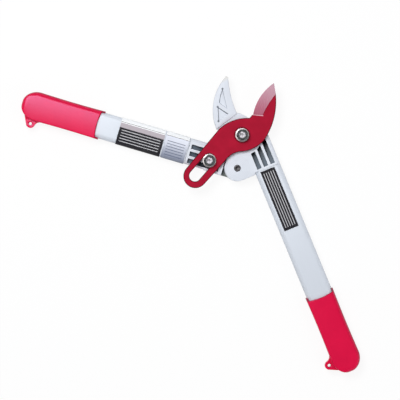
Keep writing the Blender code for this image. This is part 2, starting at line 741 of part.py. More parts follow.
def blade(on):
    """The red blade: a flat back, a ground bevel on its front and the slotted tail."""
    edge, bevel = blade_edges()
    body = blade_body_outline(bevel[-1])
    bm = bmesh.new()

    def row(points, height):
        return [bm.verts.new((x, y, height)) for x, y in points]

    bevel_front = row(bevel, BLADE_FRONT)
    heel_front = row(edge[:1], BLADE_FRONT)
    body_front = row(body, BLADE_FRONT)
    edge_front = row(edge, BLADE_BACK + KEEN_EDGE)
    edge_back = row(edge, BLADE_BACK)
    body_back = row(body, BLADE_BACK)
    spine_end_back = row(bevel[-1:], BLADE_BACK)
    bm.faces.new(bevel_front[::-1] + heel_front + body_front)
    bm.faces.new(spine_end_back + edge_back[::-1] + body_back)
    for i in range(len(edge) - 1):
        bm.faces.new((bevel_front[i], bevel_front[i + 1], edge_front[i + 1], edge_front[i]))
        bm.faces.new((edge_front[i], edge_front[i + 1], edge_back[i + 1], edge_back[i]))
    bm.faces.new((heel_front[0], bevel_front[0], edge_front[0]))
    bm.faces.new((heel_front[0], edge_front[0], edge_back[0], body_back[0], body_front[0]))
    for i in range(len(body) - 1):
        bm.faces.new((body_front[i], body_front[i + 1], body_back[i + 1], body_back[i]))
    bm.faces.new((body_front[-1], bevel_front[-1], spine_end_back[0], body_back[-1]))
    bm.faces.new((bevel_front[-1], edge_front[-1], edge_back[-1], spine_end_back[0]))
    piece = add_object("blade", bm, on)
    below = BLADE_BACK - CUT_PAST
    above = BLADE_FRONT + CUT_PAST
    cut(piece, cylinder("blade.bore", (0, 0), BOLT_RADIUS + FIT, below, above, on))
    cut(piece, prism("blade.slot", stadium(*slot_ends(), SLOT_WIDTH / 2), below, above, on))
    return red_coating(piece)


def ring(name, centre, bore, radius, bottom, top, on):
    """A washer or a bush."""
    profile = [(bore, bottom), (radius, bottom), (radius, top), (bore, top)]
    return spun(name, centre, profile, on)


def bolt(name, centre, head_bottom, on):
    """A hexagon bolt from the back through the blade's washer and nut, with a chamfered end."""
    end = stack_top() + BOLT_END_RISE
    chamfer = BOLT_RADIUS / 6
    low = head_bottom + BOLT_HEAD_HEIGHT / 2
    profile = [
        (0, low),
        (BOLT_RADIUS, low),
        (BOLT_RADIUS, end - chamfer),
        (BOLT_RADIUS - chamfer, end),
        (0, end),
    ]
    piece = spun(name, centre, profile, on)
    join(piece, hexagon(name + ".head", centre, BOLT_HEAD_FLATS, head_bottom, head_bottom + BOLT_HEAD_HEIGHT, on))
    return bright_steel(piece)


def nut_seat():
    """The height of a nut's underside, over the blade and its washer."""
    return BLADE_FRONT + FIT + WASHER_THICKNESS + FIT


def stack_top():
    """The height of a nut's collar."""
    return nut_seat() + NUT_HEIGHT + COLLAR_HEIGHT


def lock_nut(name, centre, on):
    """A hexagon nut with chamfered corners and a collar that is open for its insert."""
    seat = nut_seat()
    shoulder = seat + NUT_HEIGHT
    corner = NUT_FLATS / math.sqrt(3)
    piece = hexagon(name, centre, NUT_FLATS, seat, shoulder, on)
    chamfer = corner - NUT_FLATS / 2
    turning = spun(
        name + ".chamfer",
        centre,
        [
            (0, seat - CUT_PAST),
            (corner + CUT_PAST, seat - CUT_PAST),
            (corner + CUT_PAST, shoulder - chamfer),
            (NUT_FLATS / 2 - chamfer / 2, shoulder + chamfer / 4),
            (0, shoulder + chamfer / 4),
        ],
        on,
    )
    combine(piece, turning, "INTERSECT")
    join(piece, cylinder(name + ".collar", centre, COLLAR_RADIUS, seat + NUT_HEIGHT / 2, stack_top(), on))
    cut(piece, cylinder(name + ".bore", centre, BOLT_RADIUS + FIT, seat - CUT_PAST, stack_top() + CUT_PAST, on))
    room = COLLAR_RADIUS - COLLAR_WALL
    cut(piece, cylinder(name + ".groove", centre, room, shoulder, stack_top() + CUT_PAST, on))
    return bright_steel(piece)


def insert(name, centre, on):
    """The nylon ring in a nut's collar."""
    bottom = nut_seat() + NUT_HEIGHT + FIT
    piece = ring(name, centre, BOLT_RADIUS + FIT, COLLAR_RADIUS - COLLAR_WALL - FIT, bottom, stack_top() - FIT, on)
    return finish(piece, (0.08, 0.1, 0.1), 0.5, 0.0)


def bolt_stack(prefix, centre, head_bottom, on):
    """What holds the blade on a head: bolt, friction washer, front washer, nut and nut insert."""
    bore = BOLT_RADIUS + FIT
    bolt(prefix + "_bolt", centre, head_bottom, on)
    under = ring(
        prefix + "_friction_washer",
        centre,
        bore,
        FRICTION_WASHER_RADIUS,
        BASE_FACE + FIT,
        BLADE_BACK - FIT,
        on,
    )
    finish(under, (0.45, 0.33, 0.16), 0.35, 0.9)
    washer_bottom = BLADE_FRONT + FIT
    over = ring(prefix + "_washer", centre, bore, WASHER_RADIUS, washer_bottom, washer_bottom + WASHER_THICKNESS, on)
    bright_steel(over)
    lock_nut(prefix + "_nut", centre, on)
    insert(prefix + "_nut_insert", centre, on)


def handle_pivot_screw(on):
    """The screw on which the second handle turns: its head at the back, its end in the lobe."""
    head_bottom = CASTING_BACK - PIVOT_SCREW_HEAD_RISE
    head_top = head_bottom + PIVOT_SCREW_HEAD_HEIGHT
    end = BASE_FACE - FIT
    profile = [
        (0, head_bottom),
        (PIVOT_SCREW_HEAD, head_bottom),
        (PIVOT_SCREW_HEAD, head_top),
        (PIVOT_SCREW_RADIUS, head_top),
        (PIVOT_SCREW_RADIUS, end),
        (0, end),
    ]
    screw = spun("handle_pivot_screw", HANDLE_PIVOT, profile, on)
    socket = hexagon(
        "handle_pivot_screw.socket",
        HANDLE_PIVOT,
        PIVOT_SOCKET_FLATS,
        end - PIVOT_SOCKET_DEPTH,
        end + CUT_PAST,
        on,
    )
    cut(screw, socket)
    return dark_steel(screw)


def handle_pivot_bush(on):
    """The bush in the second handle's eye."""
    inner = PIVOT_SCREW_RADIUS + FIT
    bottom = CASTING_BACK - PIVOT_SCREW_HEAD_RISE + PIVOT_SCREW_HEAD_HEIGHT + FIT
    piece = ring("handle_pivot_bush", (0, 0), inner, inner + EYE_BUSH_WALL, bottom, MID_PLANE - FIT / 2, on)
    return finish(piece, (0.45, 0.33, 0.16), 0.35, 0.9)


def flat_label(name, left, right, top, end, on):
    """A label on the flat front of a tube."""
    outline = [Vector((left, end)), Vector((right, end)), Vector((right, top)), Vector((left, top))]
    return prism(name, outline, BASE_FACE + FIT, BASE_FACE + FIT + LABEL_THICKNESS, on)


def wrapped_label(name, x, top, end, on):
    """A label that goes round a tube's front onto both its sides."""
    across = TUBE_WIDTH / 2 - TUBE_CORNER
    height = CASTING_DEPTH / 2 - TUBE_CORNER
    section = []
    for lift in (FIT + LABEL_THICKNESS, FIT):
        side = TUBE_WIDTH / 2 + lift
        path = [Vector((-side, -LABEL_SIDE_REACH))]
        path += arc((-across, height), TUBE_CORNER + lift, 180, 90, CORNER_STEPS)
        path += arc((across, height), TUBE_CORNER + lift, 90, 0, CORNER_STEPS)
        path += [Vector((side, -LABEL_SIDE_REACH))]
        section += path[::-1] if section else path
    return loft(name, [along_handle(section, x, top), along_handle(section, x, end)], on)


def joint_frame(name, place, degrees=0.0):
    """An empty on a joint's axis."""
    empty = bpy.data.objects.new(name, None)
    empty.location = (place[0], place[1], 0)
    empty.rotation_euler.z = math.radians(degrees)
    bpy.context.scene.collection.objects.link(empty)
    return empty


def fixed_side():
    """The hook head with its handle, and what is fastened to them."""
    on = joint_frame("fixed_side", (0, 0))
    hook_head(on)
    tube_end = FIXED_GRIP_END + GRIP_END_WALL + TUBE_END_GAP
    tube("fixed_tube", FIXED_TUBE_X, FIXED_TUBE_START - FIT, tube_end, on)
    rivets("fixed_tube_rivet", FIXED_TUBE_X, FIXED_TUBE_START, on)
    grip("fixed_grip", FIXED_TUBE_X, FIXED_GRIP_MOUTH, FIXED_GRIP_END, -1, on)
    label_top = FIXED_TUBE_START - LABEL_MARGIN
    label_left = FIXED_TUBE_X - TUBE_WIDTH / 2 + TUBE_CORNER
    label = flat_label(
        "fixed_label",
        label_left,
        label_left + FIXED_LABEL_WIDTH,
        label_top,
        label_top - FIXED_LABEL_LENGTH,
        on,
    )
    dark_film(label)
    bolt_stack("blade_pivot", (0, 0), 0, on)
    handle_pivot_screw(on)


def moving_side():
    """The second handle with its head, and what is fastened to them, opened to its rest."""
    on = joint_frame("moving_side", HANDLE_PIVOT, -OPEN_ANGLE)
    moving_head(on)
    tube_end = MOVING_GRIP_END + GRIP_END_WALL + TUBE_END_GAP
    tube("moving_tube", MOVING_TUBE_X, MOVING_TUBE_START - FIT, tube_end, on)
    rivets("moving_tube_rivet", MOVING_TUBE_X, MOVING_TUBE_START, on)
    grip("moving_grip", MOVING_TUBE_X, MOVING_GRIP_MOUTH, MOVING_GRIP_END, 1, on)
    pale_top = MOVING_TUBE_START - LABEL_MARGIN
    dark_top = pale_top - PALE_LABEL_LENGTH - LABEL_MARGIN
    pale_film(wrapped_label("moving_pale_label", MOVING_TUBE_X, pale_top, pale_top - PALE_LABEL_LENGTH, on))
    dark_film(wrapped_label("moving_dark_label", MOVING_TUBE_X, dark_top, dark_top - DARK_LABEL_LENGTH, on))
    bolt_stack("slot", SLOT_BOLT_ARM, SLOT_BOLT_LIFT, on)
    bush = ring("slot_bush", SLOT_BOLT_ARM, BOLT_RADIUS + FIT, BUSH_RADIUS, BLADE_BACK, BLADE_FRONT, on)
    finish(bush, (0.45, 0.33, 0.16), 0.35, 0.9)
    handle_pivot_bush(on)


def main():
    for leftover in list(bpy.data.objects):
        bpy.data.objects.remove(leftover)
    fixed_side()
    moving_side()
    blade(joint_frame("blade_side", (0, 0)))


main()
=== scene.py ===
"""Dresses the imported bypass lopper: fine forms, finishes, floor, lamps and camera.

Every piece keeps the place of the solid that it stands for. The fixed handle runs along -Y from
the blade pivot at x = y = 0. The second handle's pieces are modelled the same way round the handle
pivot and then opened.
"""

import json
import math

import bmesh
import bpy
from mathutils import Matrix, Vector


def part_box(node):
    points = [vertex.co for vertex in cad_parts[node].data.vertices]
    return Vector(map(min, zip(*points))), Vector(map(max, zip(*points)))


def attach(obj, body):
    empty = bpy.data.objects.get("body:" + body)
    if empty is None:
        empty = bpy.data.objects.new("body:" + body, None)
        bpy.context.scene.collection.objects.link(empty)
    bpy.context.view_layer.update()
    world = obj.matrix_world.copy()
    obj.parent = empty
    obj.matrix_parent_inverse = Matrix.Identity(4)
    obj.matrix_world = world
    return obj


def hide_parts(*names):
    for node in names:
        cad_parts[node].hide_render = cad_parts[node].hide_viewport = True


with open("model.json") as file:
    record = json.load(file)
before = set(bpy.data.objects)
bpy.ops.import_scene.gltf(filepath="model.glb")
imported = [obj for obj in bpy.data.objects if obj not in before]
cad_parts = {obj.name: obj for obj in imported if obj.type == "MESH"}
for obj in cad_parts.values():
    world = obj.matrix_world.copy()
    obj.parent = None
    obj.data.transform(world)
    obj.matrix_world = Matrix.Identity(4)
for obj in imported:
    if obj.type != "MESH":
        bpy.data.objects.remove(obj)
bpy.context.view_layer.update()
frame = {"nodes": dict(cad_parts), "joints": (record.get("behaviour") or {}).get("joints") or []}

bl_info = {
    "name": "Bypass Lopper",
    "version": (1, 0, 0),
    "blender": (4, 5, 0),
    "location": "View3D > Sidebar > Lopper",
    "description": "Fine forms, finishes and a studio for a bypass lopper",
    "category": "Object",
}

MM = 0.001
JOINTS = {joint["name"]: joint for joint in frame["joints"]}
HANDLE_PIVOT = Vector(JOINTS["handle_pivot"]["pos_m"])
PIVOT_AXIS = (HANDLE_PIVOT.x, HANDLE_PIVOT.y, 0)
TUBE_LOW, TUBE_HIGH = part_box("fixed_tube")
TUBE_MIDDLE = (TUBE_LOW.x + TUBE_HIGH.x) / 2
GRIP_LOW, GRIP_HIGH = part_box("fixed_grip")
PLATE_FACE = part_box("moving_head")[1].z
HOOK_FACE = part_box("hook_head")[1].z
BLADE_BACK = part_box("blade")[0].z
BLADE_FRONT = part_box("blade")[1].z
SLOT_BOLT = sum(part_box("slot_washer"), Vector()) / 2
MID_PLANE = (TUBE_LOW.z + TUBE_HIGH.z) / 2
HOLLOWS_START = 21 * MM
HOLLOWS_RIB = 38 * MM
HOLLOWS_END = 60 * MM
HOLLOW_DEPTH = 1.6 * MM
HOLLOW_CORNERS = ((-0.6 * MM, 57.6 * MM), (-13.6 * MM, 40.6 * MM), (-19.0 * MM, 25.0 * MM))

# Middle of the first long gill, and where the gills start and end along the handle.
HOOK_GILLS = (3.75 * MM, -43.6 * MM, -4 * MM)
EYE_GILLS = (-9.0 * MM, -57.6 * MM, -18 * MM)
LOBE_RADIUS = 14.4 * MM
LOBE_RING_PITCH = 1.7 * MM
LAP_START = -16.4 * MM
# Radius inside which the nut tops carry a painted dark reflection.
NUT_REFLECTION_RADIUS = 6.4 * MM

# The painted highlight along the heel of the blade's bevel: its slope, its width across and its run.
HEEL_SLOPE = 0.541
HEEL_LINE = (27.2 * MM, 28.3 * MM)
HEEL_RUN = (19.6 * MM, 30.6 * MM)
BEVEL_FROM_X = 15 * MM
BEVEL_FROM_Y = 12 * MM
BEVEL_LEAST_AREA = 4 * MM * MM

# How finely a grip is drawn out, the angle at which its dome stops and how square its end is.
BARREL_RINGS = 12
DOME_RINGS = 20
DOME_END = math.radians(84)
DOME_SQUARENESS = 16

X, Y = 0, 1
RAYS = ("Camera", "Glossy", "Transmission")
RULE_HALF_WIDTH = 0.4 * MM
# Painted shade on the walls and in the corners of the hook's hollows.
HOLLOW_SHADE = (0.10, 0.12, 0.15)
GILL_SHADE = (0.004, 0.005, 0.007)
# Painted shade on the sliding face under the lobe, at its darkest and at its lightest.
LAP_SHADE_DEEP = (0.012, 0.014, 0.016)
LAP_SHADE_LIGHT = (0.17, 0.19, 0.18)
# Grey of painted shade on the hook's rounded rim, and the warmer grey of its tip.
RIM_PAINTED_SHADE = (0.50, 0.50, 0.50)
TIP_GREY = (0.76, 0.75, 0.71)
HEEL_HIGHLIGHT = (0.72, 0.40, 0.47)
GROUND_PALE = (0.75, 0.50, 0.58)
RUBBED_FILM = (0.30, 0.30, 0.33)
# Painted dark reflection on the nut tops, in two tones.
NUT_REFLECTION_DARK = (0.018, 0.026, 0.026)
NUT_REFLECTION_GREY = (0.11, 0.13, 0.13)
# Painted highlight on the labels' white strips.
FILM_HIGHLIGHT = (0.94, 0.96, 0.98)
LINE_ON_FILM = (0.16, 0.15, 0.15)
# Painted sheen on the dark label's silver strip.
FILM_SHEEN = (0.50, 0.45, 0.49)
INK_ON_DARK = (0.68, 0.68, 0.71)
INK_ON_PALE = (0.11, 0.13, 0.21)


def length(label, about, default, **limits):
    """A size that a user can change."""
    shown = {"unit": "LENGTH", "subtype": "DISTANCE", "precision": 5}
    return bpy.props.FloatProperty(name=label, description=about, default=default, **shown, **limits)


def degrees(label, about, default):
    """An angle that a user can change, given in degrees."""
    turn = math.radians(default)
    return bpy.props.FloatProperty(name=label, description=about, default=turn, subtype="ANGLE")


def fraction(label, about, default):
    """A share from 0 to 1 that a user can change."""
    return bpy.props.FloatProperty(name=label, description=about, default=default, min=0, max=1)


def lamp_power(label, about, default):
    """A lamp's power that a user can change."""
    return bpy.props.FloatProperty(name=label, description=about, default=default, min=0, unit="POWER")


def colour(label, about, default):
    """A colour that a user can change, in linear light."""
    return bpy.props.FloatVectorProperty(
        name=label, description=about, default=default, size=3, min=0, max=1, subtype="COLOR"
    )


class LopperSizes(bpy.types.PropertyGroup):
    """Sizes of the handles and of the fine forms."""

    open_angle: degrees("Opening", "Angle between the handles' run at rest", 128.8)
    tube_corner: length("Tube corner", "Radius of the tube's long corners", 5.5 * MM, min=1 * MM)
    tube_wall: length("Tube wall", "Wall of the tube", 1.6 * MM, min=0.4 * MM)
    moving_x: length("Second handle offset", "Sideways place of the second handle from its pivot", -3.05 * MM)
    moving_tube_start: length("Second tube start", "Start of the second tube from its pivot", -60.3 * MM)
    moving_mouth: length("Second grip mouth", "Mouth of the second grip from its pivot", -167.0 * MM)
    moving_end: length("Second grip end", "End of the second grip from its pivot", -258.5 * MM)
    gill_pitch: length("Gill pitch", "Spacing of the long gills", 8.25 * MM)
    gill_width: length("Gill width", "Width of a gill's dark floor", 5.5 * MM)
    grip_width: length("Grip width", "Width of a grip", 33.36 * MM)
    grip_depth: length("Grip depth", "Depth of a grip", 21.0 * MM)
    grip_outer_corner: length("Grip outer corner", "Radius of the long corners on the plain side", 6.0 * MM)
    grip_inner_corner: length("Grip inner corner", "Radius of the long corners on the loop's side", 1.3 * MM)
    grip_crown: length("Grip crown", "How far a grip's front and back stand up in their middle", 0.7 * MM)
    grip_waist: length("Grip waist", "How far a grip's sides draw in halfway", 0.5 * MM)
    grip_dome: length("Grip dome", "Length of a grip's rounded end", 18.5 * MM)
    grip_wall: length("Grip wall", "Wall of a grip at its mouth", 1.1 * MM)
    mouth_ear: length("Mouth ears", "How far the sides of a grip's mouth stand up", 3.6 * MM)
    mouth_ear_width: length("Ear width", "Width of a mouth's ears", 2.0 * MM)
    mouth_scallop: length("Mouth scallop", "Depth of the curve of a grip's mouth", 1.6 * MM)
    loop_offset: length("Loop offset", "Hang loop from the grip's middle line", 20.9 * MM)
    loop_from_end: length("Loop place", "Hang loop from the grip's end", 15.9 * MM)
    loop_radius: length("Loop radius", "Outer radius of the hang loop", 4.97 * MM)
    loop_hole: length("Loop hole", "Radius of the hang loop's hole", 1.8 * MM)
    loop_thickness: length("Loop thickness", "Thickness of the hang loop", 9.0 * MM)
    loop_fillet: length("Loop fillet", "Radius from the grip's side into the hang loop", 7.0 * MM)
    loop_root: length("Loop root", "How far the hang loop's web reaches into the grip", 5.0 * MM)
    moving_label_top: length("Second label top", "Upper end of the second handle's labels", -61.5 * MM)
    pale_label_length: length("Pale label", "Length of the pale label", 27.0 * MM)
    dark_label_length: length("Dark label", "Length of the second handle's dark label", 52.5 * MM)
    label_gap: length("Label gap", "Gap between the two labels", 1.5 * MM)
    soft_edge: length("Soft edge", "Rounding of machined edges", 0.25 * MM, min=0)
    # The blade's rim is darkened over this width as painted shade.
    rim_shade_width: length(
        "Rim width", "Width of the blade's darker rim on its flat", 0.6 * MM, min=0.1 * MM, max=0.6 * MM
    )


class LopperColours(bpy.types.PropertyGroup):
    """Colours of the finishes, in linear light."""

    casting: colour("Casting", "Enamel of the two castings", (0.77, 0.81, 0.885))
    tube: colour("Tube", "Anodised tube", (0.71, 0.755, 0.825))
    # The gill floors' colour where their painted shade is lightest, at their open ends.
    recess: colour("Recess", "Bare floor of the long gills", (0.15, 0.19, 0.24))
    blade: colour("Blade", "Coating of the blade", (0.415, 0.0085, 0.033))
    ground: colour("Ground edge", "Ground bevel by its heel, under a thin red film", (0.37, 0.070, 0.13))
    ground_tip: colour(
        "Ground edge at the tip", "Ground bevel where the film is rubbed thin", (0.50, 0.28, 0.35)
    )
    grip: colour("Grip", "Moulded grips", (0.80, 0.0015, 0.053))
    steel: colour("Steel", "Plated washers, nuts and rivets", (0.64, 0.60, 0.60))
    bolt_steel: colour("Bolt steel", "Plated bolts", (0.50, 0.48, 0.52))
    dark_steel: colour("Dark steel", "Blackened pivot screw", (0.085, 0.080, 0.088))
    bronze: colour("Bronze", "Bushes and friction washers", (0.45, 0.30, 0.13))
    nylon: colour("Nylon", "Inserts of the lock nuts", (0.035, 0.045, 0.045))
    dark_film: colour("Dark label", "Dark film", (0.022, 0.021, 0.026))
    # The pale label's two tints are a painted sheen, light along its upper side and dark along its lower
    # side.
    pale_film: colour("Pale label", "Silver film along its upper side", (0.80, 0.83, 0.93))
    pale_film_low: colour("Pale label below", "Silver film along its lower side", (0.29, 0.32, 0.41))


class LopperStage(bpy.types.PropertyGroup):
    """The camera, lamps and floor."""

    camera_turn: degrees("Camera turn", "Turn of the view about its axis", -22.4)
    aim_x: length("Aim X", "Middle of the view", -73.0 * MM)
    aim_y: length("Aim Y", "Middle of the view", -50.4 * MM)
    view_width: length("View width", "What the view takes in at the handles' height", 460 * MM, min=50 * MM)
    camera_height: length("Camera height", "Camera above the floor", 3.0)
    key_power: lamp_power("Key lamp", "Power of the large lamp", 12.0)
    fill_power: lamp_power("Fill lamp", "Power of the lamp on the other side", 5.5)
    sky: bpy.props.FloatProperty(
        name="Sky", description="Strength of the light all round", default=0.28, min=0
    )
    ceiling: fraction("Ceiling", "Brightness of the ceiling that gloss reflects", 0.06)
    floor_bounce: fraction("Floor bounce", "How much light the floor throws back", 0.85)
    shadow: fraction("Shadow", "Share of the floor's own shade that shows", 0.1)


def sizes():
    return bpy.context.scene.lopper_sizes


def colours():
    return bpy.context.scene.lopper_colours


def studio():
    return bpy.context.scene.lopper_stage


def begin():
    """Leaves edit mode and deselects everything, so that an operator acts on the next piece alone."""
    active = bpy.context.view_layer.objects.active
    if active and active.mode != "OBJECT":
        bpy.ops.object.mode_set(mode="OBJECT")
    bpy.ops.object.select_all(action="DESELECT")


def activate(piece):
    begin()
    piece.select_set(True)
    bpy.context.view_layer.objects.active = piece


def named(name):
    """Names the primitive that was just added."""
    piece = bpy.context.view_layer.objects.active
    piece.name = name
    piece.data.name = name
    return piece


def settle(piece):
    """Applies a piece's place, turn and scale to its mesh."""
    activate(piece)
    bpy.ops.object.transform_apply(location=True, rotation=True, scale=True)
    return piece


def block(name, location, scale):
    """A block to shape, join on or cut with."""
    begin()
    bpy.ops.mesh.primitive_cube_add(size=1, location=location, scale=scale)
    return settle(named(name))


def cylinder(name, vertices, radius, depth, location):
    """An upright cylinder to shape, join on or cut with."""
    begin()
    bpy.ops.mesh.primitive_cylinder_add(vertices=vertices, radius=radius, depth=depth, location=location)
    return settle(named(name))


def edit(piece, mode):
    """Opens a piece in edit mode with nothing selected."""
    activate(piece)
    bpy.ops.object.mode_set(mode="EDIT")
    bpy.ops.mesh.select_mode(type=mode)
    bpy.ops.mesh.select_all(action="DESELECT")


def pick(piece, kind, test):
    """Selects the faces, edges or points that pass a test."""
    bpy.ops.mesh.select_all(action="DESELECT")
    mesh = bmesh.from_edit_mesh(piece.data)
    for item in getattr(mesh, kind):
        if test(item):
            item.select_set(True)
    mesh.select_flush_mode()
    bmesh.update_edit_mesh(piece.data)


def span(edge, axis):
    """How far an edge reaches along an axis."""
    first, second = (vert.co[axis] for vert in edge.verts)
    return abs(first - second)


def close_edit():
    bpy.ops.object.mode_set(mode="OBJECT")


def apply_modifier(piece, kind, **settings):
    """Adds a modifier and applies it."""
    activate(piece)
    bpy.ops.object.modifier_add(type=kind)
    modifier = piece.modifiers[-1]
    for key, value in settings.items():
        setattr(modifier, key, value)
    bpy.ops.object.modifier_apply(modifier=modifier.name)
    return piece


def combine(piece, other, operation):
    """Joins or cuts a piece with another, which is used up."""
    apply_modifier(piece, "BOOLEAN", object=other, operation=operation, solver="EXACT")
    bpy.data.objects.remove(other)
    return piece


def round_edges(piece, width, segments, angle):
    """Rounds every edge that turns by more than an angle, given in degrees."""
    return apply_modifier(
        piece,
        "BEVEL",
        width=width,
        segments=segments,
        limit_method="ANGLE",
        angle_limit=math.radians(angle),
        use_clamp_overlap=True,
    )


def smooth(piece, angle=35):
    activate(piece)
    bpy.ops.object.shade_smooth_by_angle(angle=math.radians(angle))
    return piece


def merged_copy(node, name):
    """A copy of a CAD node with its loose triangles merged."""
    piece = bpy.data.objects.new(name, frame["nodes"][node].data.copy())
    piece.data.name = name
    bpy.context.scene.collection.objects.link(piece)
    piece.data.materials.clear()
    edit(piece, "VERT")
    bpy.ops.mesh.select_all(action="SELECT")
    bpy.ops.mesh.remove_doubles(threshold=0.005 * MM)
    bpy.ops.mesh.select_all(action="SELECT")
    bpy.ops.mesh.dissolve_limited(angle_limit=math.radians(0.5))
    close_edit()
    if piece.data.has_custom_normals:
        bpy.ops.mesh.customdata_custom_splitnormals_clear()
    return piece


def open_out(piece):
    """Carries a piece modelled round the handle pivot to its place on the opened handle."""
    turn = Matrix.Rotation(-sizes().open_angle, 4, "Z")
    piece.matrix_world = Matrix.Translation(PIVOT_AXIS) @ turn
    return settle(piece)


def hand_over(piece, finish, body, node):
    """Gives a finished piece its material, unless it has its own, its body and its solid."""
    if not piece.data.materials:
        piece.data.materials.append(finish)
    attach(piece, body)
    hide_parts(node)


def dress(node, name, finish, body, rounded=False):
    """Stands a smoothed copy in for a CAD node, with its machined edges rounded if that is asked."""
    piece = merged_copy(node, name)
    if rounded:
        round_edges(piece, sizes().soft_edge, 2, 50)
    hand_over(smooth(piece), finish, body, node)


class Wire:
    """A socket that takes part in sums. Each sum adds its Math node."""

    def __init__(self, finish, socket):
        self.finish = finish
        self.socket = socket

    def math(self, operation, *others, clamp=False):
        settings = {"operation": operation, "use_clamp": clamp}
        return self.finish.node("ShaderNodeMath", settings, [self, *others])

    def __add__(self, other):
        return self.math("ADD", other)

    __radd__ = __add__

    def __sub__(self, other):
        return self.math("SUBTRACT", other)

    def __rsub__(self, other):
        return self.finish.node("ShaderNodeMath", {"operation": "SUBTRACT"}, [other, self])

    def __mul__(self, other):
        return self.math("MULTIPLY", other)

    __rmul__ = __mul__

    def __truediv__(self, other):
        return self.math("DIVIDE", other)

    def __pow__(self, other):
        return self.math("POWER", other)

    def __abs__(self):
        return self.math("ABSOLUTE")

    def over(self, limit):
        return self.math("GREATER_THAN", limit)

    def under(self, limit):
        return self.math("LESS_THAN", limit)

    def limited(self):
        return self.math("ADD", 0.0, clamp=True)

    def ramp(self, low, high):
        """0 below low, 1 above high and smooth between."""
        return self.finish.node(
            "ShaderNodeMapRange",
            {"interpolation_type": "SMOOTHSTEP"},
            {"Value": self, "From Min": low, "From Max": high},
        )


class Nodes:
    """A node tree and the means to build it."""

    def __init__(self, tree):
        self.tree = tree

    def node(self, kind, settings=None, inputs=None, output=0):
        """Adds a node, sets it up and feeds its sockets with values or wires."""
        node = self.tree.nodes.new(kind)
        for key, value in (settings or {}).items():
            setattr(node, key, value)
        for key, value in inputs.items() if isinstance(inputs, dict) else enumerate(inputs or []):
            self.feed(node.inputs[key], value)
        return Wire(self, node.outputs[output])

    def feed(self, socket, value):
        if isinstance(value, Wire):
            self.tree.links.new(value.socket, socket)
        else:
            socket.default_value = value

    def axes(self, vector):
        split = self.node("ShaderNodeSeparateXYZ", inputs=[vector]).socket.node
        return [Wire(self, output) for output in split.outputs]

    def rays(self):
        """1 on rays from the eye, and 1 on those and on reflected and refracted rays."""
        path = self.node("ShaderNodeLightPath").socket.node
        eye, glossy, through = (Wire(self, path.outputs[f"Is {kind} Ray"]) for kind in RAYS)
        return eye, (eye + glossy + through).limited()


class Finish(Nodes):
    """A material with its shader."""

    def __init__(self, name, **constants):
        self.material = bpy.data.materials.new(name)
        self.material.use_nodes = True
        super().__init__(self.material.node_tree)
        self.shader = self.tree.nodes["Principled BSDF"]
        self.set(**constants)

    def set(self, **values):
        """Feeds the shader's own sockets."""
        for key, value in values.items():
            self.feed(self.shader.inputs[key.replace("_", " ")], value)
        return self

    def place(self, origin=(0, 0, 0), turn=0.0):
        """The piece's own coordinates, measured from a point and along turned axes."""
        here = self.node("ShaderNodeTexCoord", output=3)
        return self.node(
            "ShaderNodeMapping",
            {"vector_type": "TEXTURE"},
            {"Vector": here, "Location": origin, "Rotation": (0, 0, turn)},
        )

    def facing_up(self):
        """How far the surface looks up, from 1 for flat to 0 for a wall."""
        return self.axes(self.node("ShaderNodeTexCoord", output=1))[2]

    def radius(self, place):
        """The distance from the axis that a place is measured from."""
        x, y, _ = self.axes(place)
        return (x * x + y * y) ** 0.5

    def stretched(self, vector, factors):
        return self.node("ShaderNodeVectorMath", {"operation": "MULTIPLY"}, [vector, factors])

    def noise(self, vector, scale, detail):
        return self.node(
            "ShaderNodeTexNoise",
            inputs={"Vector": vector, "Scale": scale, "Detail": detail, "Roughness": 0.55},
        )

    def mix(self, share, first, second):
        """A colour between two, by a share."""
        return self.node(
            "ShaderNodeMix",
            {"data_type": "RGBA", "clamp_factor": True},
            {0: share, 6: shade(first), 7: shade(second)},
            output=2,
        )

    def finished(self, base, roughness, height, depth, strength):
        """Feeds the colour, the roughness and a bump, and returns the material."""
        bump = {"Height": height, "Distance": depth, "Strength": strength}
        normal = self.node("ShaderNodeBump", inputs=bump)
        return self.set(Base_Color=base, Roughness=roughness, Normal=normal).material


def shade(value, factor=1.0):
    """A colour for a socket, made lighter or darker by a factor."""
    if isinstance(value, Wire):
        return value
    return (*[min(1.0, part * factor) for part in value[:3]], 1.0)


def within(wire, low, high):
    """1 where a value lies between two limits."""
    return wire.over(low) * wire.under(high)


def enamel(paint, place):
    """Pale enamel with a faint cloud in its tone."""
    cloud = paint.noise(place, 28.0, 2.0)
    return paint.mix(cloud.ramp(0.35, 0.7), shade(colours().casting, 0.97), shade(colours().casting, 1.03))


def with_gills(paint, place, skin, first, low, high):
    """Adds the floors of the long gills in painted shade, near black at their far ends and fading to the
    recess colour towards their open ends.
    """
    x, y, z = paint.axes(place)
    pitch = sizes().gill_pitch
    across = abs((x - first).math("WRAP", pitch / 2, -pitch / 2)).under(sizes().gill_width / 2)
    run = within(x, first - pitch / 2, first + 2.5 * pitch) * within(y, low, high)
    deep = within(z, PLATE_FACE - 12 * MM, PLATE_FACE - 0.12 * MM) * across * run
    fade = (high - y).ramp(6 * MM, high - low) ** 1.4
    return paint.mix(deep, skin, paint.mix(fade, GILL_SHADE, colours().recess))


def with_corner_shade(paint, place, skin):
    """Adds painted shade as dark specks in the corners of the hook's two hollows."""
    _, _, z = paint.axes(place)
    front = z.over(HOOK_FACE - 2 * MM)
    for corner in HOLLOW_CORNERS:
        corner_shade = 1 - paint.radius(paint.place((*corner, 0))).ramp(0.6 * MM, 1.7 * MM)
        skin = paint.mix(corner_shade * front * 0.9, skin, HOLLOW_SHADE)
    return skin


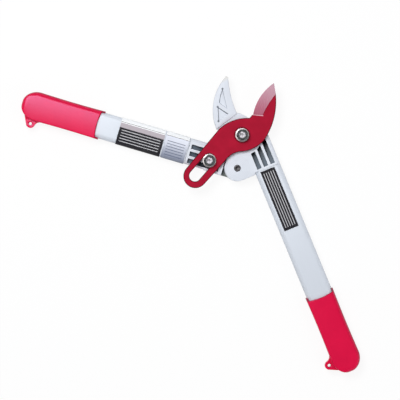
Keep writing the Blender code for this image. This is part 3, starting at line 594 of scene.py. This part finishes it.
def with_shaded_rim(paint, place, skin):
    """Adds a grey of painted shade along the hook's rounded rim, where its surface turns into a wall, and a
    warmer grey at its tip.
    """
    _, y, _ = paint.axes(place)
    rim = (1 - paint.facing_up().ramp(0.4, 0.95)) * y.over(HOLLOWS_START)
    tip = y.ramp(63 * MM, 68 * MM)
    skin = paint.mix(tip * 0.8, skin, TIP_GREY)
    return paint.mix(rim * 0.45, skin, RIM_PAINTED_SHADE)


def with_turned_lobe(paint, skin):
    """Adds the faint turning rings on the lobe round the handle pivot."""
    place = paint.place(PIVOT_AXIS)
    _, _, z = paint.axes(place)
    radius = paint.radius(place)
    rings = (radius * (math.tau / LOBE_RING_PITCH)).math("SINE").ramp(0.0, 1.0)
    lobe = radius.under(LOBE_RADIUS) * z.over(PLATE_FACE - 0.2 * MM)
    return paint.mix(lobe * rings * 0.5, skin, shade(colours().casting, 0.87))


def with_shaded_lap(paint, place, skin):
    """Paints the sliding face that turns under the lobe in shade, darkest near x = 0 and lighter by x = 13
    mm.
    """
    x, y, z = paint.axes(place)
    lap = paint.facing_up().over(0.5) * y.over(LAP_START) * z.under(PLATE_FACE - 1 * MM)
    painted_shade = paint.mix(x.ramp(1 * MM, 13 * MM), LAP_SHADE_DEEP, LAP_SHADE_LIGHT)
    return paint.mix(lap, skin, painted_shade)


def casting_skin(paint, place, skin):
    """Closes a casting's finish: its colour, and the fine grain of the enamel."""
    grain = paint.noise(place, 900.0, 4.0)
    return paint.finished(skin, 0.42 + grain * 0.12, grain, 0.05 * MM, 0.35)


def casting_paint(name):
    return Finish(name, Metallic=0.0, Specular_IOR_Level=0.2, Coat_Weight=0.05, Coat_Roughness=0.3)


def hook_side_enamel(paint, place):
    """Enamel of the hook side, a shade darker on the hook itself, from y = 12 mm to 36 mm."""
    _, y, _ = paint.axes(place)
    toward_hook = y.ramp(12 * MM, 36 * MM)
    return paint.mix(toward_hook * 0.6, enamel(paint, place), shade(colours().casting, 0.9))


def hook_finish():
    paint = casting_paint("hook_enamel")
    place = paint.place()
    skin = with_gills(paint, place, hook_side_enamel(paint, place), *HOOK_GILLS)
    skin = with_corner_shade(paint, place, with_shaded_rim(paint, place, skin))
    return casting_skin(paint, place, with_turned_lobe(paint, skin))


def hollow_shade_finish():
    """Enamel on the walls of the hook's hollows in painted shade: a little on every wall, most on those that
    look to the handle or to -x.
    """
    paint = casting_paint("hollow_enamel")
    place = paint.place()
    across, along, _ = paint.axes(paint.node("ShaderNodeTexCoord", output=1))
    shaded_walls = (across * 0.25 - along).ramp(0.05, 0.4) * 0.6
    outer = (0 - across).ramp(0.4, 0.8) * 0.35
    skin = paint.mix(0.08 + shaded_walls + outer, hook_side_enamel(paint, place), HOLLOW_SHADE)
    return casting_skin(paint, place, with_corner_shade(paint, place, skin))


def eye_finish():
    paint = casting_paint("eye_enamel")
    place = paint.place(PIVOT_AXIS, -sizes().open_angle)
    skin = with_gills(paint, place, enamel(paint, place), *EYE_GILLS)
    return casting_skin(paint, place, with_shaded_lap(paint, place, skin))


def tube_finish(name, origin=(0, 0, 0), turn=0.0):
    """Satin anodised tube, with fine draw lines along it."""
    metal = Finish(name, Metallic=0.05, Specular_IOR_Level=0.12)
    place = metal.place(origin, turn)
    lines = metal.noise(metal.stretched(place, (1.0, 0.015, 1.0)), 1500.0, 3.0)
    cloud = metal.noise(place, 16.0, 2.0)
    base = metal.mix(lines, shade(colours().tube, 0.97), shade(colours().tube, 1.02))
    base = metal.mix(cloud.ramp(0.3, 0.8) * 0.25, base, shade(colours().tube, 1.04))
    return metal.finished(base, 0.36 + lines * 0.12, lines, 0.02 * MM, 0.4)


def grip_finish(name, middle, mouth, end, side, origin=(0, 0, 0), turn=0.0):
    """Smooth soft plastic, with painted shade on the plain side, at the mouth's lip and round the loop's
    hole.
    """
    size = sizes()
    tint = colours().grip
    soft = Finish(name, Metallic=0.0, Specular_IOR_Level=0.43, Specular_Tint=(0.6, 0.6, 1.0, 1.0))
    place = soft.place(origin, turn)
    x, y, _ = soft.axes(place)
    grain = soft.noise(place, 1600.0, 2.0)
    worn = soft.noise(place, 35.0, 3.0)
    outer = 1 - ((x - middle) * side).ramp(-8 * MM, 0)
    straight = (y - end).ramp(size.grip_dome / 4, size.grip_dome)
    tilted = 1 - soft.facing_up().ramp(0.9, 0.994)
    wall = 1 - soft.facing_up().ramp(0.45, 0.8)
    across = (x - middle) / (size.grip_width / 2 - size.mouth_ear_width)
    mouth_edge = mouth - (1 - across * across) * size.mouth_scallop
    lip = (mouth_edge - y).under(0.7 * MM)
    hole_x = x - (middle + side * size.loop_offset)
    hole_y = y - (end + size.loop_from_end)
    from_hole = (hole_x * hole_x + hole_y * hole_y) ** 0.5
    ring = 1 - from_hole.ramp(size.loop_hole, size.loop_hole + 1.4 * MM)
    base = soft.mix(worn.ramp(0.35, 0.75), shade(tint, 0.96), shade(tint, 1.04))
    # Each of these is painted shade: the plain side's corner and wall, the mouth's lip and the ring round the
    # loop's hole.
    darker = (
        (outer * straight * tilted * 0.25, 0.5),
        (outer * wall * 0.5, 0.35),
        (lip * 0.7, 0.3),
        (ring * 0.5, 0.4),
    )
    for share, factor in darker:
        base = soft.mix(share, base, shade(tint, factor))
    return soft.finished(base, 0.28 + worn * 0.06, grain, 0.02 * MM, 0.2)


def blade_finish():
    """Deep red coating over steel, with painted shade on its rim and round the pivot washer, and a painted
    highlight along the bevel's heel.
    """
    coat = Finish("red_coating", Metallic=0.0, Specular_IOR_Level=0.035)
    place = coat.place()
    x, y, _ = coat.axes(place)
    speckle = coat.noise(place, 1200.0, 3.0)
    cloud = coat.noise(place, 60.0, 3.0)
    base = coat.mix(cloud.ramp(0.3, 0.75), shade(colours().blade, 0.92), shade(colours().blade, 1.1))
    # The rim attribute carries painted shade along the blade's outline.
    rim = coat.node("ShaderNodeAttribute", {"attribute_name": "rim"}, output=2)
    base = coat.mix(rim * 0.9, base, shade(colours().blade, 0.12))
    # Painted shadow in a ring round the pivot washer.
    painted_shade = 1 - coat.radius(place).ramp(8.2 * MM, 10.2 * MM)
    base = coat.mix(painted_shade * 0.75, base, shade(colours().blade, 0.15))
    # The pale line at the bevel's heel is a painted highlight.
    heel = within(x * HEEL_SLOPE + y, *HEEL_LINE) * within(x, *HEEL_RUN)
    base = coat.mix(heel * coat.facing_up().over(0.5), base, HEEL_HIGHLIGHT)
    return coat.finished(base, 0.4 + speckle * 0.14, speckle, 0.03 * MM, 0.3)


def ground_finish():
    """The ground bevel, with grinding lines across it under a thin red film."""
    steel = Finish("ground_edge", Metallic=0.1, Specular_IOR_Level=0.3)
    place = steel.place(turn=math.radians(-35))
    lines = steel.noise(steel.stretched(place, (1.0, 0.02, 1.0)), 1800.0, 3.0)
    x, y, _ = steel.axes(steel.place())
    towards_tip = (x + y).ramp(40 * MM, 98 * MM)
    tone = steel.mix(towards_tip, colours().ground, colours().ground_tip)
    base = steel.mix(lines.ramp(0.35, 0.7) * 0.14, tone, GROUND_PALE)
    return steel.finished(base, 0.42 + lines * 0.16, lines, 0.03 * MM, 0.5)


def plated_finish(name, centre, tint, dark_reflection_within=0.0, metallic=1.0, patches=160.0, depth=0.15):
    """Plated steel or bronze with turning marks round an axis and stains, and a painted dark reflection
    inside a radius.
    """
    metal = Finish(name, Metallic=metallic)
    place = metal.place((centre.x, centre.y, 0))
    radius = metal.radius(place)
    marks = (radius * (math.tau / (1.1 * MM))).math("SINE")
    stain = metal.noise(place, patches, 3.0)
    base = metal.mix(stain.ramp(0.35, 0.7), shade(tint, 1 - depth), shade(tint, 1 + depth / 2))
    # The nut top inside this radius carries a painted dark reflection.
    if dark_reflection_within:
        dark = metal.mix(stain.ramp(0.45, 0.7), NUT_REFLECTION_DARK, NUT_REFLECTION_GREY)
        base = metal.mix(radius.under(dark_reflection_within), base, dark)
    return metal.finished(base, 0.24 + stain * 0.2, marks * 0.5 + stain, 0.012 * MM, 0.4)


def nylon_finish(name):
    """Dark nylon with a fine grain."""
    nylon = Finish(name, Metallic=0.0)
    grain = nylon.noise(nylon.place(), 900.0, 3.0)
    base = nylon.mix(grain, shade(colours().nylon, 0.85), shade(colours().nylon, 1.15))
    return nylon.finished(base, 0.35 + grain * 0.1, grain, 0.02 * MM, 0.3)


def film_finish(name, tint, rules, origin=(0, 0, 0), turn=0.0, lower_tint=None, strips=()):
    """A film ruled with plain lines, with a painted sheen across it if it has a lower tint, and strips along
    it.

    rules holds the first and last line, their spacing, where they start and end, and their colour.
    """
    film = Finish(name, Metallic=0.0, Specular_IOR_Level=0.08)
    place = film.place(origin, turn)
    x, y, _ = film.axes(place)
    rub = film.noise(film.stretched(place, (1.0, 0.25, 1.0)), 260.0, 4.0)
    # With a lower tint, this is a painted sheen across the film.
    base = film.mix(x.ramp(-13 * MM, 11 * MM), tint, lower_tint or tint)
    base = film.mix(rub.ramp(0.5, 0.85) * 0.15, base, RUBBED_FILM)
    first, last, pitch, low, high, ink = rules
    line = abs((x - first).math("WRAP", pitch / 2, -pitch / 2)).under(RULE_HALF_WIDTH)
    field = within(x, first - pitch / 2, last + pitch / 2) * within(y, low, high)
    base = film.mix(line * field * (0.75 + rub * 0.25), base, ink)
    for low, high, colour_of_strip in strips:
        base = film.mix(within(x, low, high), base, colour_of_strip)
    return film.finished(base, 0.34 + rub * 0.12, rub, 0.01 * MM, 0.3)


class LOPPER_OT_castings(bpy.types.Operator):
    """Finish the hook head and the second handle's head"""

    bl_idname = "lopper.castings"
    bl_label = "Castings"

    def execute(self, context):
        hook = merged_copy("hook_head", "hook_casting")
        draft_hollow(hook, HOLLOWS_START, HOLLOWS_RIB)
        draft_hollow(hook, HOLLOWS_RIB, HOLLOWS_END)
        hook.data.materials.append(hook_finish())
        hook.data.materials.append(hollow_shade_finish())
        for face in hook.data.polygons:
            deepest = HOOK_FACE - min(hook.data.vertices[corner].co.z for corner in face.vertices)
            if abs(deepest - HOLLOW_DEPTH) < 0.05 * MM and face.normal.z < 0.97:
                face.material_index = 1
        hand_over(smooth(hook), None, "hook_side", "hook_head")
        dress("moving_head", "eye_casting", eye_finish(), "moving_handle")
        return {"FINISHED"}


def draft_hollow(piece, low, high):
    """Draws the floor of one of the hook's hollows in, so that its walls slope, most at its back."""

    def floor(face):
        centre = face.calc_center_median()
        level = HOOK_FACE - 2 * MM < centre.z < HOOK_FACE - 1 * MM
        return level and face.normal.z > 0.99 and low < centre.y < high

    edit(piece, "FACE")
    pick(piece, "faces", floor)
    points = [vert.co for vert in bmesh.from_edit_mesh(piece.data).verts if vert.select]
    if not points:
        raise RuntimeError("a hollow of the hook has no floor")
    bpy.ops.transform.resize(value=(0.8, 0.84, 1), center_override=sum(points, Vector()) / len(points))
    bpy.ops.transform.translate(value=(0, -0.4 * MM, 0))
    close_edit()


def rounded_bar(name, location, scale, segments):
    """A bar along a handle, its long corners rounded as the tube's are. It is left in edit mode."""
    piece = block(name, location, scale)
    edit(piece, "EDGE")
    pick(piece, "edges", lambda edge: span(edge, Y) > 1 * MM)
    bpy.ops.mesh.bevel(offset=sizes().tube_corner, segments=segments, affect="EDGES")
    return piece


def flat_oval_tube(name, x, start, end):
    """A flat oval tube along a handle: a bar with rounded long corners, opened at its ends."""
    width = TUBE_HIGH.x - TUBE_LOW.x
    depth = TUBE_HIGH.z - TUBE_LOW.z
    middle = (x, (start + end) / 2, MID_PLANE)
    piece = rounded_bar(name, middle, (width, start - end, depth), 12)
    bpy.ops.mesh.select_mode(type="FACE")
    pick(piece, "faces", lambda face: abs(face.normal.y) > 0.9)
    bpy.ops.mesh.delete(type="FACE")
    close_edit()
    apply_modifier(piece, "SOLIDIFY", thickness=sizes().tube_wall, offset=-1)
    return smooth(round_edges(piece, 0.2 * MM, 2, 60))


class LOPPER_OT_tubes(bpy.types.Operator):
    """Model the two handle tubes"""

    bl_idname = "lopper.tubes"
    bl_label = "Tubes"

    def execute(self, context):
        fixed = flat_oval_tube("hook_side_tube", TUBE_MIDDLE, TUBE_HIGH.y, TUBE_LOW.y)
        hand_over(fixed, tube_finish("hook_side_anodised"), "hook_side", "fixed_tube")
        size = sizes()
        end = size.moving_end + (TUBE_LOW.y - GRIP_LOW.y)
        moving = open_out(flat_oval_tube("second_tube", size.moving_x, size.moving_tube_start, end))
        finish = tube_finish("second_anodised", PIVOT_AXIS, -size.open_angle)
        hand_over(moving, finish, "moving_handle", "moving_tube")
        return {"FINISHED"}


def hang_loop(name, x, end, side):
    """The flat eye that a grip hangs by, with a web that runs into the grip."""
    size = sizes()
    centre = Vector((x + side * size.loop_offset, end + size.loop_from_end, MID_PLANE))
    piece = cylinder(name, 48, size.loop_radius, size.loop_thickness, centre)
    flank = (size.grip_width - size.grip_waist) / 2
    fillet_across = flank + size.loop_fillet
    reach = size.loop_radius + size.loop_fillet
    fillet_along = math.sqrt(reach**2 - (fillet_across - size.loop_offset) ** 2)
    meeting = size.loop_offset + (fillet_across - size.loop_offset) * size.loop_radius / reach
    inner = flank - size.loop_root
    low, high = -size.loop_radius, fillet_along
    web = block(
        name + "_web",
        (x + side * (meeting + inner) / 2, centre.y + (low + high) / 2, MID_PLANE),
        (meeting - inner, high - low, size.loop_thickness),
    )
    edit(web, "VERT")
    base = centre.y + low + 0.1 * MM
    pick(web, "verts", lambda vert: vert.co.y < base and abs(vert.co.x - x) < inner + 0.1 * MM)
    bpy.ops.transform.translate(value=(0, -size.loop_root, 0))
    close_edit()
    combine(piece, web, "UNION")
    through = 2 * size.loop_thickness
    corner = (x + side * fillet_across, centre.y + fillet_along, MID_PLANE)
    combine(piece, cylinder(name + "_fillet", 96, size.loop_fillet, through, corner), "DIFFERENCE")
    round_edges(piece, 1.0 * MM, 4, 50)
    return combine(piece, cylinder(name + "_hole", 32, size.loop_hole, through, centre), "DIFFERENCE")


def mouth_cutter(name, x, mouth):
    """What is taken out of a grip's mouth between its ears, with a curved lower edge."""
    size = sizes()
    reach = size.grip_width / 2 - size.mouth_ear_width
    top = mouth + size.mouth_ear + 2 * MM
    middle = (x, (mouth + top) / 2, MID_PLANE)
    piece = block(name, middle, (2 * reach, top - mouth, size.grip_depth * 2))
    edit(piece, "EDGE")
    low = lambda vert: vert.co.y < mouth + 0.01 * MM
    pick(piece, "edges", lambda edge: all(map(low, edge.verts)) and span(edge, X) > reach)
    cuts = 11
    bpy.ops.mesh.subdivide(number_cuts=cuts)
    bpy.ops.mesh.select_mode(type="VERT")
    for step in range(1, cuts + 1):
        place = x - reach + 2 * reach * step / (cuts + 1)
        drop = size.mouth_scallop * (1 - ((place - x) / reach) ** 2)
        pick(piece, "verts", lambda vert: low(vert) and abs(vert.co.x - place) < 0.05 * MM)
        bpy.ops.transform.translate(value=(0, -drop, 0))
    close_edit()
    return piece


def crown_section(piece, x, y, side):
    """Crowns the front and the back of a grip's section, which is open in edit mode."""
    size = sizes()
    half = size.grip_width / 2
    inner, outer = half - size.grip_inner_corner, size.grip_outer_corner - half
    cuts = 7
    bpy.ops.mesh.select_mode(type="EDGE")
    pick(piece, "edges", lambda edge: span(edge, X) > half)
    bpy.ops.mesh.subdivide(number_cuts=cuts)
    bpy.ops.mesh.select_mode(type="VERT")
    pitch = (inner - outer) / (cuts + 1)
    for step in range(cuts + 2):
        place = outer + pitch * step
        low = place - pitch / 2 if step else -size.grip_width
        high = place + pitch / 2 if step <= cuts else size.grip_width
        drop = size.grip_crown * (place / half) ** 2
        pick(piece, "verts", lambda vert: low < (vert.co.x - x) * side < high)
        flatter = (1, 1, 1 - 2 * drop / size.grip_depth)
        bpy.ops.transform.resize(value=flatter, center_override=(x, y, MID_PLANE))


def grip_rings(start, end):
    """Each ring of a grip: its place, and its width and depth as shares of the mouth's."""
    size = sizes()
    dome_start = end + size.grip_dome
    for step in range(1, BARREL_RINGS + 1):
        part = step / BARREL_RINGS
        waist = 1 - 2 * size.grip_waist * math.sin(math.pi * part) / size.grip_width
        yield start + (dome_start - start) * part, waist, 1.0
    for step in range(1, DOME_RINGS + 1):
        angle = DOME_END * step / DOME_RINGS
        fall = size.grip_dome * math.sin(angle) / math.sin(DOME_END)
        yield dome_start - fall, math.cos(angle), math.sqrt(1 - math.sin(angle) ** DOME_SQUARENESS)


def moulded_grip(name, x, mouth, end, side):
    """A grip: an outline drawn out along the handle, domed at its end, open at its mouth."""
    size = sizes()
    start = mouth + size.mouth_ear
    begin()
    bpy.ops.mesh.primitive_plane_add(size=1, location=(x, start, MID_PLANE), rotation=(math.pi / 2, 0, 0))
    piece = named(name)
    piece.scale = (size.grip_width, size.grip_depth, 1)
    settle(piece)
    edit(piece, "VERT")
    for direction, radius in ((side, size.grip_inner_corner), (-side, size.grip_outer_corner)):
        pick(piece, "verts", lambda vert: (vert.co.x - x) * direction > 0)
        bpy.ops.mesh.bevel(offset=radius, segments=8, affect="VERTICES")
    crown_section(piece, x, start, side)
    place, across, deep = start, 1.0, 1.0
    bpy.ops.mesh.select_mode(type="FACE")
    bpy.ops.mesh.select_all(action="SELECT")
    for y, wide, thick in grip_rings(start, end):
        bpy.ops.mesh.extrude_region_move(TRANSFORM_OT_translate={"value": (0, y - place, 0)})
        narrower = (wide / across, 1, thick / deep)
        bpy.ops.transform.resize(value=narrower, center_override=(x, y, MID_PLANE))
        place, across, deep = y, wide, thick
    bpy.ops.mesh.select_all(action="SELECT")
    bpy.ops.mesh.normals_make_consistent(inside=False)
    close_edit()
    combine(piece, hang_loop(name + "_loop", x, end, side), "UNION")
    combine(piece, mouth_cutter(name + "_mouth", x, mouth), "DIFFERENCE")
    depth, proud = 12 * MM, 5 * MM
    bore = rounded_bar(
        name + "_bore",
        (x, start + proud - depth / 2, MID_PLANE),
        (size.grip_width - 2 * size.grip_wall, depth, size.grip_depth - 3 * size.grip_wall),
        8,
    )
    close_edit()
    combine(piece, bore, "DIFFERENCE")
    round_edges(piece, 0.3 * MM, 2, 55)
    return smooth(piece, 40)


class LOPPER_OT_grips(bpy.types.Operator):
    """Model the two moulded grips"""

    bl_idname = "lopper.grips"
    bl_label = "Grips"

    def execute(self, context):
        size = sizes()
        run = (TUBE_MIDDLE, GRIP_HIGH.y - size.mouth_ear, GRIP_LOW.y, -1)
        fixed = moulded_grip("hook_side_grip", *run)
        finish = grip_finish("hook_side_rubber", *run)
        hand_over(fixed, finish, "hook_side", "fixed_grip")
        run = (size.moving_x, size.moving_mouth, size.moving_end, 1)
        moving = open_out(moulded_grip("second_grip", *run))
        finish = grip_finish("second_rubber", *run, PIVOT_AXIS, -size.open_angle)
        hand_over(moving, finish, "moving_handle", "moving_grip")
        return {"FINISHED"}


def is_ground(face):
    """Whether a face of the blade is a wide sloping one past the bevel's heel."""
    slopes = 0.3 < face.normal.z < 0.995
    past_heel = face.center.x > BEVEL_FROM_X and face.center.y > BEVEL_FROM_Y
    return slopes and past_heel and face.area > BEVEL_LEAST_AREA


class LOPPER_OT_blade(bpy.types.Operator):
    """Finish the blade: soft edges, coated body and ground bevel"""

    bl_idname = "lopper.blade"
    bl_label = "Blade"

    def execute(self, context):
        piece = merged_copy("blade", "bypass_blade")
        edit(piece, "EDGE")
        rim = lambda vert: vert.co.z > BLADE_FRONT - 0.01 * MM
        pick(
            piece,
            "edges",
            lambda edge: all(map(rim, edge.verts))
            and len(edge.link_faces) == 2
            and edge.calc_face_angle(0) > math.radians(60),
        )
        bpy.ops.mesh.bevel(offset=sizes().soft_edge * 1.6, segments=3, affect="EDGES", clamp_overlap=True)
        bpy.ops.mesh.select_mode(type="FACE")
        pick(piece, "faces", lambda face: face.normal.z > 0.999 and all(map(rim, face.verts)))
        # The first inset carries the rim's painted shade all over, and the second fades it into the coating.
        for part in (0.8, 0.2):
            bpy.ops.mesh.inset(thickness=sizes().rim_shade_width * part, use_even_offset=False)
        close_edit()
        inner = {vertex.index for vertex in piece.data.vertices if vertex.select}
        piece.data.materials.append(blade_finish())
        piece.data.materials.append(ground_finish())
        for face in filter(is_ground, piece.data.polygons):
            face.material_index = 1
            inner.update(face.vertices)
        rim_shade = piece.data.attributes.new("rim", "FLOAT", "POINT")
        for vertex in piece.data.vertices:
            edge = vertex.index not in inner and vertex.co.z > BLADE_BACK + 0.1 * MM
            rim_shade.data[vertex.index].value = 1.0 if edge else 0.0
        smooth(piece, 12)
        hand_over(piece, None, "blade_side", "blade")
        return {"FINISHED"}


class LOPPER_OT_fasteners(bpy.types.Operator):
    """Finish the two bolt stacks, the rivets and the handle pivot"""

    bl_idname = "lopper.fasteners"
    bl_label = "Fasteners"

    def execute(self, context):
        steel, bronze = colours().steel, colours().bronze
        stacks = (("blade_pivot", "hook_side", Vector()), ("slot", "moving_handle", SLOT_BOLT))
        for prefix, body, centre in stacks:
            plates = {
                # The bolts' strong, fine patches are stains and painted glints.
                "bolt": (colours().bolt_steel, {"metallic": 0.7, "patches": 420.0, "depth": 0.8}),
                "washer": (steel, {"metallic": 0.35}),
                "nut": (steel, {"metallic": 0.35, "dark_reflection_within": NUT_REFLECTION_RADIUS}),
            }
            for part, (tint, plate) in plates.items():
                node = f"{prefix}_{part}"
                bright = plated_finish(node + "_plate", centre, tint, **plate)
                dress(node, node + "_bright", bright, body, rounded=True)
            node = prefix + "_friction_washer"
            turned = plated_finish(node + "_turned", centre, bronze)
            dress(node, node + "_turned", turned, body)
            node = prefix + "_nut_insert"
            dress(node, node + "_ring", nylon_finish(node + "_nylon"), body)
        turned = plated_finish("slot_bush_turned", SLOT_BOLT, bronze)
        dress("slot_bush", "slot_bush_ring", turned, "moving_handle")
        turned = plated_finish("eye_bush_turned", HANDLE_PIVOT, bronze)
        dress("handle_pivot_bush", "eye_bush", turned, "moving_handle")
        black = {"metallic": 0.0, "patches": 500.0}
        dark = plated_finish("pivot_screw_black", HANDLE_PIVOT, colours().dark_steel, **black)
        dress("handle_pivot_screw", "pivot_screw", dark, "hook_side", rounded=True)
        for prefix, body in (("fixed_tube", "hook_side"), ("moving_tube", "moving_handle")):
            for number in (1, 2):
                node = f"{prefix}_rivet_{number}"
                low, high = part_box(node)
                head = plated_finish(node + "_plate", (low + high) / 2, steel)
                dress(node, node + "_dome", head, body)
        return {"FINISHED"}


class LOPPER_OT_labels(bpy.types.Operator):
    """Finish the ruled films on the tubes"""

    bl_idname = "lopper.labels"
    bl_label = "Labels"

    def execute(self, context):
        size = sizes()
        dark, pale, pale_low_side = colours().dark_film, colours().pale_film, colours().pale_film_low
        inset, pitch = 3 * MM, 3.2 * MM
        low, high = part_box("fixed_label")
        first, last = low.x + inset, high.x - inset
        rules = (first, last, (last - first) / 4, low.y + inset, high.y - inset, INK_ON_DARK)
        finish = film_finish("dark_film", dark, rules)
        dress("fixed_label", "hook_side_film", finish, "hook_side")
        turn = -size.open_angle
        pale_top = size.moving_label_top
        pale_end = pale_top - size.pale_label_length
        dark_top = pale_end - size.label_gap
        dark_end = dark_top - size.dark_label_length
        edge, line, white, silver, ruled = (part * MM for part in (-19.0, -14.3, -13.8, -12.8, -7.5))
        # The white strips are a painted highlight and the silver strip a painted sheen.
        margin = ((edge, line, FILM_HIGHLIGHT), (line, white, LINE_ON_FILM))
        rules = (-8.0 * MM, 8.0 * MM, pitch, pale_end + inset, pale_top - inset, INK_ON_PALE)
        finish = film_finish("silver_film", pale, rules, PIVOT_AXIS, turn, pale_low_side, margin)
        dress("moving_pale_label", "second_pale_film", finish, "moving_handle")
        strips = (*margin, (white, silver, FILM_HIGHLIGHT), (silver, ruled, FILM_SHEEN))
        rules = (-4.8 * MM, 8.0 * MM, pitch, dark_end + inset, dark_top - inset, INK_ON_DARK)
        finish = film_finish("dark_film_with_strips", dark, rules, PIVOT_AXIS, turn, strips=strips)
        dress("moving_dark_label", "second_dark_film", finish, "moving_handle")
        return {"FINISHED"}


class LOPPER_OT_stage(bpy.types.Operator):
    """Set up the floor, the lamps, the sky and the camera"""

    bl_idname = "lopper.stage"
    bl_label = "Stage"

    def execute(self, context):
        self.floor()
        self.sky()
        self.lamps()
        self.camera()
        context.scene.view_settings.view_transform = "Standard"
        return {"FINISHED"}

    def floor(self):
        begin()
        bpy.ops.mesh.primitive_plane_add(size=12, location=(0, 0, -0.1 * MM))
        floor = named("floor")
        stage = studio()
        paint = Finish("floor_white", Roughness=0.9, Specular_IOR_Level=0.0)
        eye, seen = paint.rays()
        paint.set(Base_Color=paint.mix(eye, [stage.floor_bounce] * 3, (1.0, 1.0, 1.0)))
        glow = paint.node("ShaderNodeEmission", inputs={"Color": (1, 1, 1, 1), "Strength": 1.0})
        bare = Wire(paint, paint.shader.outputs[0])
        mixed = paint.node("ShaderNodeMixShader", inputs=[seen * (1 - stage.shadow), bare, glow])
        paint.feed(paint.tree.nodes["Material Output"].inputs["Surface"], mixed)
        floor.data.materials.append(paint.material)

    def sky(self):
        """White walls and a darker ceiling for the eye and for reflections, and a soft light for the rest."""
        world = bpy.data.worlds.new("studio")
        world.use_nodes = True
        bpy.context.scene.world = world
        stage = studio()
        room = Nodes(world.node_tree)
        eye, seen = room.rays()
        height = room.axes(room.node("ShaderNodeTexCoord"))[2]
        walls = 1 - height.ramp(0.1, 0.75) * (1 - stage.ceiling)
        shown = room.node("ShaderNodeBackground", inputs={"Strength": eye + (1 - eye) * walls})
        room.feed(shown.socket.node.inputs["Color"], (1, 1, 1, 1))
        daylight = {"Color": (0.97, 0.98, 1.0, 1), "Strength": stage.sky}
        soft = room.node("ShaderNodeBackground", inputs=daylight)
        mixed = room.node("ShaderNodeMixShader", inputs=[seen, soft, shown])
        room.feed(room.tree.nodes["World Output"].inputs["Surface"], mixed)

    def lamp(self, name, power, across, up, height, size, tint):
        """A square lamp placed by the view's own right and up, aimed at the middle of the view."""
        stage = studio()
        aim = Vector((stage.aim_x, stage.aim_y, 0))
        offset = Matrix.Rotation(stage.camera_turn, 3, "Z") @ Vector((across, up, 0))
        begin()
        bpy.ops.object.light_add(type="AREA", location=aim + offset + Vector((0, 0, height)))
        lamp = bpy.context.view_layer.objects.active
        lamp.name = name
        lamp.data.energy = power
        lamp.data.size = size
        lamp.data.color = tint
        lamp.visible_camera = False
        lamp.rotation_euler = (aim - lamp.location).to_track_quat("-Z", "Y").to_euler()
        return lamp

    def lamps(self):
        stage = studio()
        self.lamp("key", stage.key_power, -0.31, 0.41, 1.25, 0.55, (1.0, 1.0, 1.0))
        fill = self.lamp("fill", stage.fill_power, 1.05, -0.6, 1.0, 1.2, (0.95, 0.97, 1.0))
        fill.visible_glossy = False

    def camera(self):
        stage = studio()
        begin()
        bpy.ops.object.camera_add(
            location=(stage.aim_x, stage.aim_y, stage.camera_height), rotation=(0, 0, stage.camera_turn)
        )
        camera = bpy.context.view_layer.objects.active
        camera.name = "camera"
        sensor = 36
        camera.data.sensor_width = sensor
        camera.data.lens = sensor * (stage.camera_height - MID_PLANE) / stage.view_width
        camera.data.clip_end = 100
        bpy.context.scene.camera = camera


class LOPPER_PT_sidebar(bpy.types.Panel):
    """Lists the lopper's pieces and their settings"""

    bl_idname = "LOPPER_PT_sidebar"
    bl_label = "Lopper"
    bl_space_type = "VIEW_3D"
    bl_region_type = "UI"
    bl_category = "Lopper"

    def draw(self, context):
        layout = self.layout
        for operator in OPERATORS:
            layout.operator(operator.bl_idname)
        for group in (sizes(), colours(), studio()):
            column = layout.column(align=True)
            for name in group.__annotations__:
                column.prop(group, name)


OPERATORS = (
    LOPPER_OT_castings,
    LOPPER_OT_tubes,
    LOPPER_OT_grips,
    LOPPER_OT_blade,
    LOPPER_OT_fasteners,
    LOPPER_OT_labels,
    LOPPER_OT_stage,
)
GROUPS = {"lopper_sizes": LopperSizes, "lopper_colours": LopperColours, "lopper_stage": LopperStage}
CLASSES = (*GROUPS.values(), *OPERATORS, LOPPER_PT_sidebar)


def register():
    for cls in CLASSES:
        bpy.utils.register_class(cls)
    for name, group in GROUPS.items():
        setattr(bpy.types.Scene, name, bpy.props.PointerProperty(type=group))


def unregister():
    for name in GROUPS:
        delattr(bpy.types.Scene, name)
    for cls in reversed(CLASSES):
        bpy.utils.unregister_class(cls)


def main():
    register()
    bpy.ops.lopper.castings()
    bpy.ops.lopper.tubes()
    bpy.ops.lopper.grips()
    bpy.ops.lopper.blade()
    bpy.ops.lopper.fasteners()
    bpy.ops.lopper.labels()
    bpy.ops.lopper.stage()


if __name__ == "__main__":
    main()
